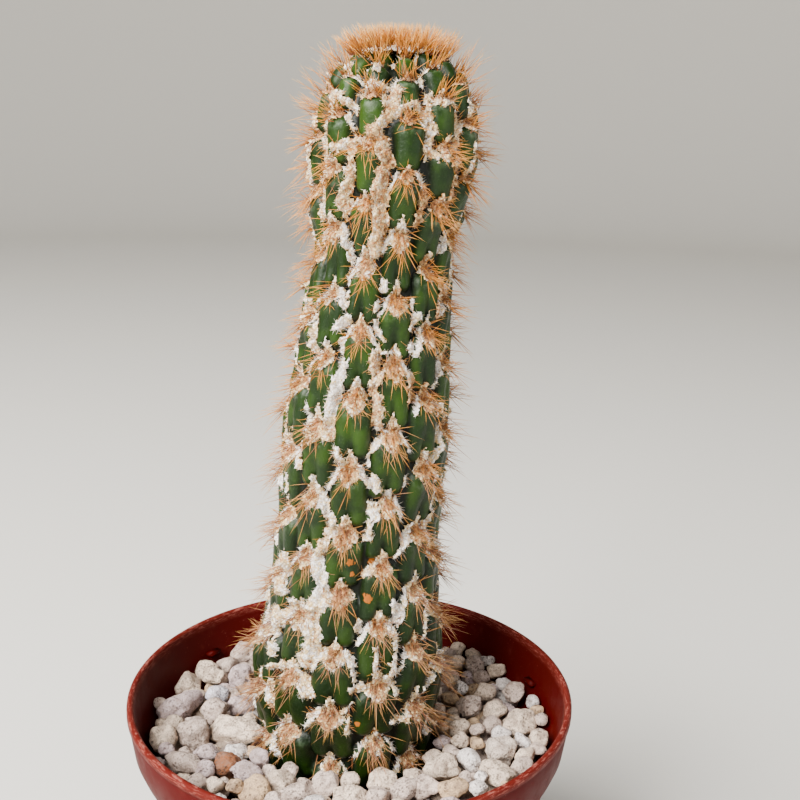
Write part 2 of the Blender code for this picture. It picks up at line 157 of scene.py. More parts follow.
# In the head the cleft is wider at its top and narrower at its foot, by these shares
HEAD_CLEFT_WIDTH = (0.55, 0.75)
CLEFT_BLEND = 0.6
RIB_BLEND = 0.3
SADDLE_HEIGHT = 0.5
SADDLE_BLEND = 0.5
# The lobes end over the buried foot, by level, and over the tip, by the stem's radius in metres
LOBES_END = -1.6
LOBES_FADE = 0.5
TIP_RADIUS = 0.010
# Bloom under an areole: its middle and depth in levels, its half width in ribs
BLOOM_UNDER = (0.24, 0.07, 0.30)
# Bloom along an areole's arms: middle and depth in levels, then middle and depth in ribs
BLOOM_BESIDE = (0.14, 0.10, 0.38, 0.07)
BLOOM_BESIDE_SHARE = 0.6
# From this level up, over some more, the lobes change to the head's: their legs draw together and swell
HEAD_START = 8.2
HEAD_BLEND = 1.2
HEAD_CLOSING = 0.62
HEAD_SWELL = 0.10
# How far the tops and the feet of the legs wander sideways, and the feet up or down
LEG_WANDER = (0.35, 0.45, 0.7)
# Lobes on a rib whose legs wander, and how many of them lie under the rib's first areole
WANDER_ROWS = 32
WANDER_START = 4
# Under this level the skin is buried and has coarser rows, and the rows end this far short of the tip
BURIED_LEVEL = -1.1
TIP_ROOM = 0.02
# The skin is darker towards the foot, and this fades out between these heights over the pot's lip
DARKER_FOOT_HEIGHTS = (-0.012, 0.085)
# Points round the skin, the spacing of its rows, and how uneven it is in mm
SKIN_COLUMNS = 17 * RIBS
SKIN_STEP = 0.00050
BURIED_STEP = 0.0020
SKIN_UNEVENNESS = 0.10

# Streaks of wool on the front: half width in mm, tone from 0 white to 1 tan, and (rib, level) points
WOOL_STREAKS = (
    # Head
    (0.8, 0.1, (-2.0, 10.6), (-2.1, 9.4)),
    (1.4, 0.3, (-1.5, 11.2), (-1.45, 10.4), (-1.4, 10.05), (-1.5, 8.9)),
    (1.1, 0.2, (-1.45, 11.15), (-1.0, 11.1), (-0.45, 10.85)),
    (1.5, 0.4, (-0.5, 10.2), (-0.5, 9.6), (-0.6, 9.2), (-0.55, 9.0)),
    (1.3, 0.3, (-0.9, 10.05), (-0.5, 10.2), (-0.05, 10.25), (0.1, 10.4), (0.45, 10.7), (0.5, 11.0)),
    (2.0, 0.5, (0.15, 10.4), (0.35, 10.1), (0.5, 9.85), (0.35, 9.5), (0.4, 9.2), (0.45, 8.9),
     (0.4, 8.7), (0.3, 8.55), (0.35, 8.4)),
    (2.0, 0.4, (0.65, 11.2), (0.55, 10.95)),
    (1.0, 0.2, (0.6, 10.75), (1.05, 10.95), (1.4, 10.85)),
    (1.4, 0.2, (1.45, 10.85), (1.6, 10.55), (1.6, 10.3), (1.45, 10.0)),
    (1.1, 0.3, (1.55, 10.0), (1.85, 9.95), (2.3, 9.85)),
    (1.3, 0.3, (1.55, 11.0), (1.6, 11.15), (1.85, 11.0), (2.35, 11.0), (2.5, 10.7), (2.45, 10.25),
     (2.35, 9.95)),
    (1.4, 0.7, (2.4, 9.8), (2.5, 9.5), (2.4, 9.25), (2.4, 9.0)),
    (1.3, 0.8, (1.45, 9.45), (1.6, 9.2), (1.45, 8.95), (1.4, 8.8)),
    (0.6, 0.1, (3.0, 11.1), (3.0, 10.7)),
    (0.6, 0.1, (3.0, 10.2), (3.0, 9.7)),
    (0.8, 0.1, (0.05, 12.1), (0.0, 11.8)),
    (1.1, 0.2, (-0.35, 11.15), (0.0, 11.45), (0.4, 11.4)),
    (0.6, 0.1, (1.5, 11.9), (1.5, 11.6)),
    # Middle
    (0.8, 0.2, (-1.5, 8.6), (-1.5, 8.3)),
    (1.0, 0.3, (-1.5, 7.3), (-1.5, 6.8)),
    (0.8, 0.2, (-1.5, 6.55), (-1.5, 6.2)),
    (0.7, 0.1, (-0.5, 8.45), (-0.5, 8.2)),
    (0.7, 0.1, (-0.45, 7.75), (-0.45, 7.55)),
    (1.0, 0.1, (-0.6, 7.2), (-0.4, 7.35)),
    (0.9, 0.0, (-0.5, 7.0), (-0.5, 6.85)),
    (1.3, 0.0, (-0.4, 6.65), (-0.45, 6.4), (-0.6, 6.1), (-0.62, 5.9)),
    (1.4, 0.4, (-0.6, 5.85), (-0.55, 5.6)),
    (0.9, 0.2, (-0.35, 5.45), (-0.2, 5.25)),
    (0.7, 0.1, (0.6, 7.95), (0.6, 7.8)),
    (0.9, 0.2, (0.45, 7.6), (0.42, 7.5)),
    (0.6, 0.2, (0.4, 7.35), (0.45, 7.2), (0.65, 7.05)),
    (1.3, 0.5, (0.5, 6.9), (0.45, 6.75), (0.5, 6.6), (0.6, 6.5), (0.45, 6.35), (0.55, 6.15),
     (0.62, 6.0), (0.62, 5.85)),
    (0.4, 0.0, (0.6, 6.85), (0.9, 6.85)),
    (0.4, 0.0, (1.5, 7.65), (1.5, 7.5)),
    (1.0, 0.2, (1.4, 7.2), (1.6, 7.4)),
    (0.7, 0.0, (1.45, 6.95), (1.45, 6.85)),
    (1.1, 0.7, (1.4, 6.5), (1.5, 6.15)),
    (1.0, 0.7, (2.45, 7.9), (2.4, 7.35)),
    (0.7, 0.2, (2.45, 6.8), (2.6, 6.4)),
    (1.0, 0.0, (2.4, 6.35), (2.4, 6.25)),
    (0.8, 0.2, (2.6, 5.95), (2.6, 5.85)),
    # Lower
    (1.0, 0.0, (-1.4, 5.95), (-1.35, 5.65)),
    (0.9, 0.2, (-1.45, 5.4), (-1.4, 5.1)),
    (0.5, 0.1, (-1.9, 4.9), (-1.9, 4.6)),
    (1.2, 0.2, (-0.85, 4.85), (-0.65, 4.65), (-0.4, 4.45), (-0.3, 4.35)),
    (1.4, 0.4, (-0.38, 4.3), (-0.45, 4.1), (-0.6, 3.85)),
    (0.7, 0.2, (0.65, 5.55), (0.45, 5.4), (0.45, 5.25)),
    (0.8, 0.2, (0.6, 5.1), (0.7, 4.9)),
    (1.0, 0.2, (0.6, 4.65), (0.58, 4.5), (0.75, 4.5)),
    (0.7, 0.2, (0.58, 4.35), (0.6, 4.15), (0.5, 4.1)),
    (0.6, 0.1, (0.9, 5.7), (0.6, 5.75)),
    (0.8, 0.3, (1.05, 3.8), (0.75, 3.6), (0.55, 3.5)),
    (0.8, 0.2, (1.45, 5.0), (1.45, 4.9)),
    (0.9, 0.1, (1.35, 3.8), (1.6, 4.0), (1.8, 4.2)),
    (0.7, 0.2, (2.5, 5.65), (2.6, 5.35), (2.45, 5.1)),
    (0.9, 0.2, (2.5, 4.75), (2.5, 4.4), (2.45, 4.1), (2.4, 3.85)),
    (1.5, 0.3, (-1.75, 3.55), (-1.8, 3.2), (-1.7, 3.0)),
    (1.6, 0.0, (-0.75, 3.7), (-0.55, 3.55), (-0.4, 3.3), (-0.55, 3.05)),
    # Foot
    (2.2, 0.3, (-0.35, 3.1), (-0.6, 2.9), (-0.7, 2.65), (-0.5, 2.45), (-0.5, 2.25), (-0.6, 2.05)),
    (2.2, 0.3, (-1.75, 2.55), (-1.9, 2.35), (-2.1, 2.1)),
    (1.5, 0.3, (-1.2, 2.9), (-1.5, 2.6)),
    (0.8, 0.2, (-1.7, 2.05), (-1.6, 1.9)),
    (1.1, 0.3, (-1.6, 1.7), (-1.2, 1.85), (-0.8, 1.85), (-0.6, 1.6), (-0.45, 1.55)),
    (1.3, 0.4, (-0.65, 1.75), (-0.45, 1.5)),
    (0.9, 0.6, (-1.6, 1.4), (-1.5, 1.0)),
    (0.8, 0.2, (0.3, 2.25), (0.45, 2.0), (0.5, 1.65)),
    (0.9, 0.2, (0.5, 2.7), (0.5, 2.6)),
    (0.9, 0.2, (1.2, 2.65), (1.4, 2.4), (1.45, 2.2)),
    (1.3, 0.0, (1.3, 3.0), (1.5, 2.85), (1.5, 2.65)),
    (0.7, 0.2, (0.9, 2.3), (0.95, 2.0), (0.9, 1.85)),
    (1.0, 0.2, (1.35, 2.1), (1.35, 1.85)),
    (1.2, 0.3, (0.45, 1.65), (0.7, 1.65)),
    (1.0, 0.3, (1.2, 1.75), (1.45, 1.5)),
    (0.6, 0.4, (0.45, 1.4), (0.35, 1.25), (0.0, 1.15), (-0.05, 1.05)),
    (0.6, 0.4, (0.0, 1.4), (-0.45, 1.1)),
    (0.6, 0.4, (0.4, 1.1), (0.42, 0.9)),
    (0.8, 0.3, (1.35, 1.0), (1.7, 0.95), (1.95, 1.2)),
    (0.6, 0.2, (2.25, 2.9), (2.3, 2.2)),
    (0.5, 0.2, (2.2, 1.4), (2.2, 1.1)),
)
# In the head the wool is narrower and yellower than below
HEAD_LEVEL = 8.8
NECK_LEVEL = 8.5
HEAD_STREAK_SHARE = 0.86
HEAD_PAD_SHARE = 0.74
HEAD_YELLOWING = 0.16
# The streaks above cover these ribs, and the rule covers the others
MEASURED_RIBS = (-2.2, 3.1)
HIDDEN_STREAK_SHARE = 0.55
HIDDEN_LEVELS = (0.8, 12)
HIDDEN_START = 0.5
# Length in levels, half width in mm, tone, and the room before the next of the streaks laid by rule
HIDDEN_LENGTHS = (0.3, 1.0)
HIDDEN_WIDTHS = (0.7, 1.5)
HIDDEN_TONES = (0.1, 0.5)
HIDDEN_ROOM = (0.1, 0.4)
# How far they waver sideways in ribs, and how much longer and more of them they are in the head
HIDDEN_WAVER = 0.12
HEAD_LONGER = 1.5
HEAD_MORE = 1.4
POINT_SPACING = 0.25
# In mm: thickness, raggedness of the edge, and the room round a streak for it
STREAK_THICKNESS = 0.9
STREAK_RAGGEDNESS = 0.30
STREAK_ROOM = 1.2
# A wider streak is thicker: a share, more for each mm of its half width, and the most
STREAK_FULLNESS = (0.55, 0.45, 1.3)
# The arms of wool that hang from an areole's sides: how many, their half widths in mm and their tone
ARM_SHARE = 0.62
ARM_WIDTHS = (0.45, 0.8)
ARM_TONE = 0.05
# Where an arm starts in ribs and levels, and how far it reaches sideways in ribs and down in levels
ARM_START = (0.24, 0.02)
ARM_REACHES = (0.42, 0.52)
ARM_DROPS = (0.16, 0.32)
# Level of the first areoles with wool, and how far under the tip in levels the last ones lie
WOOLLY_FOOT = 0.0
WOOLLY_TIP_ROOM = 1.2
# The kite of wool on an areole, in mm: its top and foot, the lengths of its tapers and its half width,
# then the powers of the tapers and the spread of the kites' sizes
PAD_THICKNESS = 0.75
PAD_TOP = 4.5
PAD_FOOT = 3.6
PAD_TAPERS = (5.7, 2.6)
PAD_HALF_WIDTH = 2.8
PAD_EDGE = 0.05
PAD_RAGGEDNESS = 0.22
PAD_POWERS = (1.15, 0.8)
PAD_SIZES = (0.9, 1.15)
# Room in ribs and levels round a kite, and the drop in mm and the squared spread of its older middle
PAD_ROOM = (0.6, 0.5)
PAD_CENTRE = (0.3, 3.0)
# Tones of the kites below the neck and in the head, their spread, and how much older the middle looks
PAD_TONES = (0.35, 0.45)
PAD_TONE_SPREAD = (0.5, 1.2)
PAD_MIDDLE = 0.75
# The net of the wool: points round it, spacing of its rows, and where it ends in levels from both ends
WOOL_COLUMNS = 36 * RIBS
WOOL_STEP = 0.00030
WOOL_FOOT = -0.3
WOOL_TIP_ROOM = 0.4
# In mm: depth of the wool's edge in the skin, and the height of its grain and lumps
WOOL_EDGE = 0.15
WOOL_GRAIN = 0.24
WOOL_LUMPS = 0.14
# Passes of smoothing by which the wool fills the clefts under it, and how soon thicker wool does so fully
WOOL_BLUR = 4
WOOL_HOLD = 2.5
# Single hairs: rings of points before the tip, spread about the wool's normal, and droop
HAIR_COUNT = 36000
HAIR_LENGTHS = (0.0005, 0.0014)
HAIR_THICKNESS = 0.00011
HAIR_RINGS = (0.0,)
HAIR_SPREAD = 0.55
HAIR_SAG = 0.1
HAIR_TONE_SPREAD = 0.2
STAND_SCATTER = 0.0001
# Young spines that stand in the wool, with their widths as shares of a spine's thickness
YOUNG_SPINES = 9000
YOUNG_SPINE_LENGTHS = (0.0012, 0.0032)
YOUNG_SPINE_WIDTHS = (0.55, 0.85)
# Shares of them that grow in the head and in white wool below it, and how many more in tan wool
YOUNG_IN_HEAD = 0.30
YOUNG_IN_WHITE = 0.08
YOUNG_IN_TAN = 0.45
# Spread about the wool's normal, droop, bend, and age below the head
YOUNG_SPREAD = 0.45
YOUNG_SAG = 0.15
YOUNG_BEND = 0.05
YOUNG_AGE = 0.6
# The cap on the tip: where it starts in levels under the tip and how far out it reaches. Its thickness,
# the depth of its ragged edge and the roughness of its top are in mm, and faces under the hem are left out
CROWN_COLUMNS = 260
CROWN_STEP = 0.00035
CROWN_DEPTH = 1.9
CROWN_RADIUS = 0.0112
CROWN_EDGE = 0.002
CROWN_THICKNESS = 0.55
CROWN_TONE = 0.35
CROWN_RAGGEDNESS = 0.35
CROWN_ROUGHNESS = (0.15, 0.21)
CROWN_FALL = 1.3
CROWN_HEM = -0.3

# Cork scars on the skin: (rib, level, half width, half height) in ribs and levels
CORK_SCARS = (
    (0.20, 3.74, 0.17, 0.13),
    (0.26, 3.54, 0.11, 0.10),
    (0.74, 3.72, 0.15, 0.11),
    (0.66, 3.14, 0.22, 0.16),
    (0.10, 3.04, 0.20, 0.16),
    (0.60, 1.05, 0.12, 0.08),
)

# Spines
NEEDLE_SIDES = 3
NEEDLE_RINGS = (0.0, 0.35, 0.72)
NEEDLE_TAPER = 0.75
# A way that no spine points along, to find directions across it
ACROSS = (0.3, 0.2, 0.93)
# Level of the first areoles with spines, and how far under the tip in levels the last ones lie
SPINY_FOOT = 0.12
SPINY_TIP_ROOM = 0.9
# Above this level up to this share of the spines is left out
CROWDED_LEVEL = 10.4
CROWDED_SHARE = 0.45
# Scatter of the roots over an areole in ribs and levels, their drop in levels and their lift in mm
ROOT_SCATTER = (0.11, 0.09)
ROOT_DROP = 0.04
ROOT_LIFT = 0.3
# Spread of the spines in degrees round the way down, and how far they lean out of the areole's normal
SPINE_FAN = 75
SPINE_LEANS = (0.05, 1.6)
SPINE_SAG = 0.06
SPINE_BEND = 0.035
SHORTEST_SPINE = 0.62
# Spread of their lengths and widths, as shares
SPINE_LENGTHS = (0.65, 1.1)
SPINE_WIDTHS = (0.7, 1.1)
# The spines rise towards the tip, and those low on the stem are the oldest
UPRIGHT = 1.2
UPRIGHT_LEVEL = 10.0
UPRIGHT_BLEND = 1.2
AGED_LEVELS = 10
AGE_SPREAD = 0.15
# The head starts at this height over the lip
HEAD_HEIGHT = 0.100
# The crown's brush: its spines crowd towards its rim and lean outwards more the nearer to it they stand
BRUSH_RADIUS = 0.0100
BRUSH_TOP = 0.2360
BRUSH_SHARES = (0.01, 1)
BRUSH_CROWDING = 0.62
BRUSH_FAN = (0.10, 1.05)
BRUSH_LENGTHS = (0.0040, 0.0068)
BRUSH_WIDTHS = (0.95, 1.4)
BRUSH_SPREAD = 0.20
BRUSH_BEND = 0.03
BRUSH_AGES = (-0.2, 0.65)
# Spines are cut under the brush's top as if they rose at least so much, with some room for their bend
LEAST_RISE = 0.2
BEND_ROOM = 1.03
# Points of the outline, counted back from the tip, among which the brush's levels are read
TIP_POINTS = 119

# Pumice: x and y on a plane 9.5 mm under the lip as the camera sees it, half length, half width (all in
# mm), turn in degrees, and tint
STONE_PLANE = POT_HEIGHT - 0.0095
STONE_TOP = -8.6
STONE_SQUASH = 0.90
STONE_GROWTH = 0.99
PUMICE_STONES = (
    (-31.5, 35.5, 4.2, 3.8, 0, "grey"), (-38.8, 24.5, 3.2, 2.9, 20, "cream"),
    (-32.5, 27.0, 3.0, 2.7, 60, "grey"), (-35.2, 20.5, 3.2, 2.8, 10, "cream"),
    (-28.8, 20.5, 3.8, 3.4, 40, "mauve"), (-43.5, 16.5, 3.8, 3.3, 75, "cream"),
    (-40.8, 10.8, 1.6, 1.5, 0, "grey"), (-42.2, 5.0, 6.6, 3.6, 48, "mauve"),
    (-47.0, 7.5, 1.8, 1.6, 0, "grey"), (-33.5, 11.5, 2.8, 2.5, 15, "blue"),
    (-27.5, 7.0, 3.4, 3.0, 30, "mauve"), (-33.3, 3.5, 3.6, 3.2, 50, "grey"),
    (-27.8, -5.0, 7.2, 4.6, -33, "cream"), (-36.6, -6.5, 4.3, 3.6, 10, "grey"),
    (-44.0, -8.3, 3.4, 3.0, 80, "cream"), (-37.8, -18.3, 4.6, 3.2, -40, "grey"),
    (-42.2, -12.9, 1.8, 1.6, 0, "mauve"), (-33.0, -14.0, 3.0, 2.0, 15, "mauve"),
    (-27.8, -18.4, 3.4, 3.0, 5, "rust"), (-32.5, -20.6, 2.2, 2.0, 0, "mauve"),
    (-23.5, -21.5, 3.9, 2.3, -10, "mauve"), (-20.5, -16.5, 2.4, 2.2, 0, "mauve"),
    (-33.5, -25.5, 2.2, 2.0, 0, "grey"), (-29.6, -27.0, 2.2, 2.0, 0, "cream"),
    (-25.1, -27.5, 1.9, 1.7, 0, "tan"), (-20.3, -28.0, 3.6, 3.3, 20, "tan"),
    (-13.2, -20.8, 2.1, 1.9, 0, "grey"), (-15.5, -25.0, 3.2, 2.9, 30, "cream"),
    (-11.3, -29.2, 4.2, 2.8, 35, "grey"), (-5.2, -25.4, 3.5, 3.0, 0, "grey"),
    (0.3, -24.8, 2.2, 2.0, 0, "cream"), (-7.4, -33.5, 2.2, 2.0, 0, "white"),
    (-0.3, -31.8, 4.5, 2.7, 0, "cream"), (5.8, -31.3, 3.2, 2.9, 40, "grey"),
    (7.0, -25.8, 3.6, 3.0, 10, "cream"), (12.0, -28.5, 3.4, 2.5, 50, "grey"),
    (14.2, -22.9, 2.1, 1.9, 0, "cream"), (17.0, -27.5, 3.0, 2.7, 15, "grey"),
    (21.0, -20.5, 4.0, 3.1, 0, "cream"), (27.0, -17.5, 3.5, 2.4, -48, "white"),
    (22.6, -28.5, 3.1, 2.8, 25, "tan"), (28.0, -28.2, 2.0, 1.8, 0, "white"),
    (25.4, -24.2, 1.7, 1.6, 0, "grey"), (30.0, 36.5, 2.5, 2.2, 0, "cream"),
    (25.8, 33.0, 2.3, 2.1, 0, "grey"), (33.2, 32.5, 2.3, 2.0, 30, "cream"),
    (37.2, 29.6, 1.8, 1.6, 0, "white"), (33.0, 26.5, 3.0, 2.7, 60, "grey"),
    (38.3, 23.6, 2.6, 2.3, 10, "cream"), (34.0, 21.0, 2.2, 2.0, 0, "grey"),
    (27.6, 27.5, 2.7, 2.4, 45, "cream"), (27.8, 15.0, 2.3, 2.1, 0, "white"),
    (34.2, 12.4, 3.4, 2.2, 10, "cream"), (41.4, 12.0, 2.9, 2.6, 50, "grey"),
    (39.0, 16.6, 1.9, 1.7, 0, "white"), (29.8, 5.6, 3.3, 2.9, 20, "grey"),
    (35.7, 3.8, 2.6, 2.4, 0, "cream"), (24.6, 9.4, 2.4, 2.1, 0, "tan"),
    (45.2, 8.0, 1.9, 1.7, 0, "white"), (46.0, 4.0, 1.8, 1.6, 0, "tan"),
    (46.4, 0.2, 1.8, 1.6, 0, "grey"), (40.6, -1.5, 4.0, 3.3, 15, "cream"),
    (33.9, -2.6, 2.4, 2.1, 0, "grey"), (36.0, -6.4, 2.2, 2.0, 0, "white"),
    (26.3, -4.0, 2.7, 2.4, 35, "cream"), (30.0, -4.8, 1.8, 1.6, 0, "grey"),
    (44.6, -8.3, 2.7, 2.3, 70, "cream"), (40.2, -9.6, 2.1, 1.9, 0, "white"),
    (34.6, -14.0, 4.2, 3.4, 20, "speckled"), (38.6, -19.6, 2.6, 2.3, 40, "grey"),
    (33.0, -23.0, 4.1, 3.1, -30, "cream"), (40.4, -15.4, 2.3, 2.1, 0, "cream"),
    (43.6, -13.0, 1.7, 1.5, 0, "grey"), (29.6, -10.6, 1.9, 1.7, 0, "tan"),
    (25.6, -9.4, 2.3, 2.1, 10, "cream"), (29.3, -24.0, 1.5, 1.4, 0, "white"),
    (23.6, -14.6, 2.0, 1.8, 0, "grey"),
)
STONE_TINTS = {
    "cream": "#e6cfb8", "grey": "#d4beb0", "mauve": "#ceb9b8", "blue": "#dad7e0",
    "white": "#f2e8e2", "tan": "#d8b68e", "rust": "#8c5028", "speckled": "#dac8b8",
}
# Stones laid by rule, all in mm and with heights over the pot's lip. Spreads, widths and lengths are
# shares of a stone's half width, and turns are in radians
SEEDED_TINTS = ("cream", "grey", "cream", "mauve", "white", "tan", "grey", "cream")
FILL_SIZES = (3.4, 2.7, 2.1, 1.6)
FILL_TRIES = (600, 1500, 3000, 4000)
FILL_SPACING = 0.90
FILL_SPREAD = (0.85, 1.15)
FILL_DROP = 1.2
FILL_UNEVENNESS = (-1.2, 0.3)
FILL_WIDTHS = (0.82, 1)
FILL_LENGTHS = (1, 1.2)
TURNS = (0, 3.1)
LOWER_STONES = 260
LOWER_SIZES = (1.8, 3.6)
LOWER_DEPTH = -16.2
LOWER_LONGER = 1.1
LOWER_UNEVENNESS = 0.8
# The lower stones' tints are darkened by this share: partly painted shade under the top stones, partly damp
LOWER_SHADE = 0.45
# Stones under this half width are made with fewer faces
FINE_STONE = 2.5
# Larger stones stand higher: rise for each mm over a usual half width
USUAL_STONE = 2.5
STONE_RISE = 0.45
FILL_RISE = 0.9
# Inner and outer distance from the pot's middle for the middles of filling stones, and for their rims
FILL_RING = (22.0, 48.5)
FILL_LIMIT = 49.0
LOWER_LIMIT = 48.0
STEM_AT_STONES = 21.6
# How far left of the middle the stem stands there, and how near filling stones may come to it
STEM_LEFT = 1
STEM_ROOM = 0.9
LIP_MM = POT_HEIGHT * 1000
# Room in metres that a stone leaves to the pot's wall
WALL_GAP = 0.00015
# A stone touches the stem and the wall with this share of its half width
STEM_TOUCH = 0.92
WALL_TOUCH = 0.97
TINT_SPREAD = (0.86, 1.14)
# How far stones tilt sideways and forwards, in radians
TILTS = (0.25, 0.20)
# A stone of radius one: the faces it broke to and their distances, its waves and its pits
LUMP_FACES = 12
LUMP_REACHES = (0.74, 1.0)
LUMP_POWER = 18
LUMP_LIMIT = 1.16
LUMP_WAVES = 9
WAVE_RATES = (2.5, 16)
WAVE_STARTS = (0, 6)
WAVE_HEIGHT = 0.13
WAVE_FALL = 0.8
LUMP_PITS = 16
PIT_WIDTHS = (0.08, 0.30)
PIT_DEPTH = 0.36

# Settings of shader nodes that recur: a smooth range, a product that stays within 0 to 1, a mix of colours
SMOOTH = {"interpolation_type": "SMOOTHSTEP"}
PRODUCT = {"operation": "MULTIPLY", "use_clamp": True}
COLOURS = {"data_type": "RGBA"}

# Camera and stage, with the lens and sensor in millimetres
CAMERA_PLACE = (0.0, -0.2398, 0.22063)
CAMERA_YAW = math.radians(2.44)
CAMERA_PITCH = math.radians(15.127)
CAMERA_ROLL = math.radians(1.274)
CAMERA_LENS = 49.995
SENSOR_WIDTH = 36
# Place, size and colour of the two lamps, which point at the middle of the plant
MAIN_LAMP = ((-0.60, -0.60, 0.90), 0.80, (1.0, 0.98, 0.95))
FILL_LAMP = ((0.80, -0.45, 0.45), 0.80, (0.93, 0.96, 1.0))
LAMP_TARGET = (0, 0, 0.14)
SKY_COLOUR = "#eef0f2"
BACKDROP_RADIUS = 2.2
BACKDROP_BEND = 0.6
BACKDROP_HEIGHT = 1.9
BEND_STEPS = 12
BACKDROP_SIDES = 96


# Settings that a user would change


def hex_colour(code):
    """The linear RGBA value of an sRGB hex colour."""
    parts = [int(code[i:i + 2], 16) / 255 for i in (1, 3, 5)]
    linear = [p / 12.92 if p <= 0.04045 else ((p + 0.055) / 1.055) ** 2.4 for p in parts]
    return (*linear, 1.0)


def colour_setting(name, description, code):
    """A colour that a user can change."""
    return FloatVectorProperty(
        name=name, description=description, default=hex_colour(code), size=4, min=0, max=1, subtype="COLOR"
    )


class PotSettings(PropertyGroup):
    """The moulded pot and what fills it."""

    body: colour_setting("Pot", "Colour of the moulded pot", "#3e0302")
    lip: colour_setting("Lip", "Colour of the worn edge of the pot's lip", "#50140e")
    scuff: colour_setting("Scuffs", "Colour of the pale rubbed marks on the pot", "#8e5248")
    soil: colour_setting("Potting mix", "Colour of the damp potting mix", "#3a2a1f")
    bark: colour_setting("Bark", "Colour of the bits of bark in the potting mix", "#6b4a33")
    dust: colour_setting("Pumice stains", "Colour of the darker clouds on the pumice", "#7a6558")
    # Painted shade down in the pumice's pores; the same colour gives its black crystals
    pore: colour_setting("Pumice pores", "Colour down in the pores of the pumice", "#3a2f28")


class SkinSettings(PropertyGroup):
    """The green skin of the stem."""

    green: colour_setting("Green", "Colour of the skin on the lobes", "#0c2002")
    # Painted shade: the skin is darkened to this colour down in the furrows, and towards it at the foot
    shade: colour_setting("Furrow green", "Colour of the skin down in the furrows", "#020801")
    yellow: colour_setting("Young green", "Colour of the fresher patches of the skin", "#2a4404")
    bloom: colour_setting("Bloom", "Colour of the waxy bloom at the tops of the lobes", "#66785e")
    cork: colour_setting("Cork", "Colour of the corky scars", "#8a4c12")


class WoolSettings(PropertyGroup):
    """The wool of the areoles, the furrows and the crown."""

    white: colour_setting("White wool", "Colour of clean wool", "#fdfaf4")
    cream: colour_setting("Cream wool", "Colour of most of the wool", "#eed49a")
    tan: colour_setting("Tan wool", "Colour of old wool at the roots of the spines", "#c28a58")
    # Also the painted shade in the gaps between the wool's crumbs
    dark: colour_setting("Dark crumbs", "Colour of the specks in old wool", "#6e3a20")


class SpineSettings(PropertyGroup):
    """The spines of the areoles and of the crown."""

    count: IntProperty(name="Spines", description="Number of spines on an areole", default=38, min=4, max=60)
    length: FloatProperty(
        name="Length", description="Length of the longest spines", default=0.0080, min=0.002, max=0.02,
        subtype="DISTANCE", unit="LENGTH",
    )
    thickness: FloatProperty(
        name="Thickness", description="Thickness of a spine at its root", default=0.00021, min=0.00005,
        max=0.001, subtype="DISTANCE", unit="LENGTH",
    )
    bristles: IntProperty(
        name="Bristles", description="Number of spines in the crown's brush", default=600, min=50, max=3000
    )
    gold: colour_setting("Gold", "Colour of young spines", "#bc6c02")
    amber: colour_setting("Amber", "Colour of the roots of the spines", "#542204")
    old: colour_setting("Old spines", "Colour of the older spines low on the stem", "#804a36")
    tip: colour_setting("Tips", "Colour of the pale tips", "#e2b25a")


class StageSettings(PropertyGroup):
    """The floor and the light."""

    floor: colour_setting("Floor", "Colour of the floor and the backdrop", "#d2cfc8")
    key: FloatProperty(
        name="Main light", description="Power of the large light at the upper left", default=76, min=0,
        unit="POWER",
    )
    fill: FloatProperty(
        name="Fill light", description="Power of the light at the right", default=6, min=0, unit="POWER"
    )
    sky: FloatProperty(
        name="Surroundings", description="Strength of the light from all round", default=0.15, min=0
    )


# Shader nodes


def add_node(tree, kind, output, inputs=None, **settings):
    """Adds a shader node with its settings and links, and gives back one of its outputs.

    Inputs go by a socket's name or number, and each is a plain value or another node's output.
    """
    node = tree.nodes.new("ShaderNode" + kind)
    for name, value in settings.items():
        setattr(node, name, value)
    for socket, value in (inputs or {}).items():
        if isinstance(value, bpy.types.NodeSocket):
            tree.links.new(value, node.inputs[socket])
        else:
            node.inputs[socket].default_value = value
    return node.outputs[output]


def sized(place, size_mm, **more):
    """Inputs of a pattern with features of some millimetres."""
    return {"Vector": place, "Scale": 1000 / size_mm, **more}


def start_material(name, **sockets):
    """(material, function that adds a node to it, shader), with the even values set on the shader."""
    made = bpy.data.materials.new(name)
    made.use_nodes = True
    shader = made.node_tree.nodes["Principled BSDF"]
    for socket, value in sockets.items():
        shader.inputs[socket.replace("_", " ")].default_value = value
    return made, partial(add_node, made.node_tree), shader


def finish_material(shader, colour=None, layers=(), bumps=(), **sources):
    """Links the patterns to the shader.

    Layers are (share, colour) and cover the first colour in turn. Bumps are (height, depth in metres,
    strength) and add up to the normal.
    """
    tree = shader.id_data
    for share, layer in layers:
        colour = add_node(tree, "Mix", 2, {0: share, 6: colour, 7: layer}, **COLOURS)
        sources["Base_Color"] = colour
    for height, depth, strength in bumps:
        inputs = {"Height": height, "Distance": depth, "Strength": strength}
        if "Normal" in sources:
            inputs["Normal"] = sources["Normal"]
        sources["Normal"] = add_node(tree, "Bump", 0, inputs)
    for socket, source in sources.items():
        tree.links.new(source, shader.inputs[socket.replace("_", " ")])


# Materials


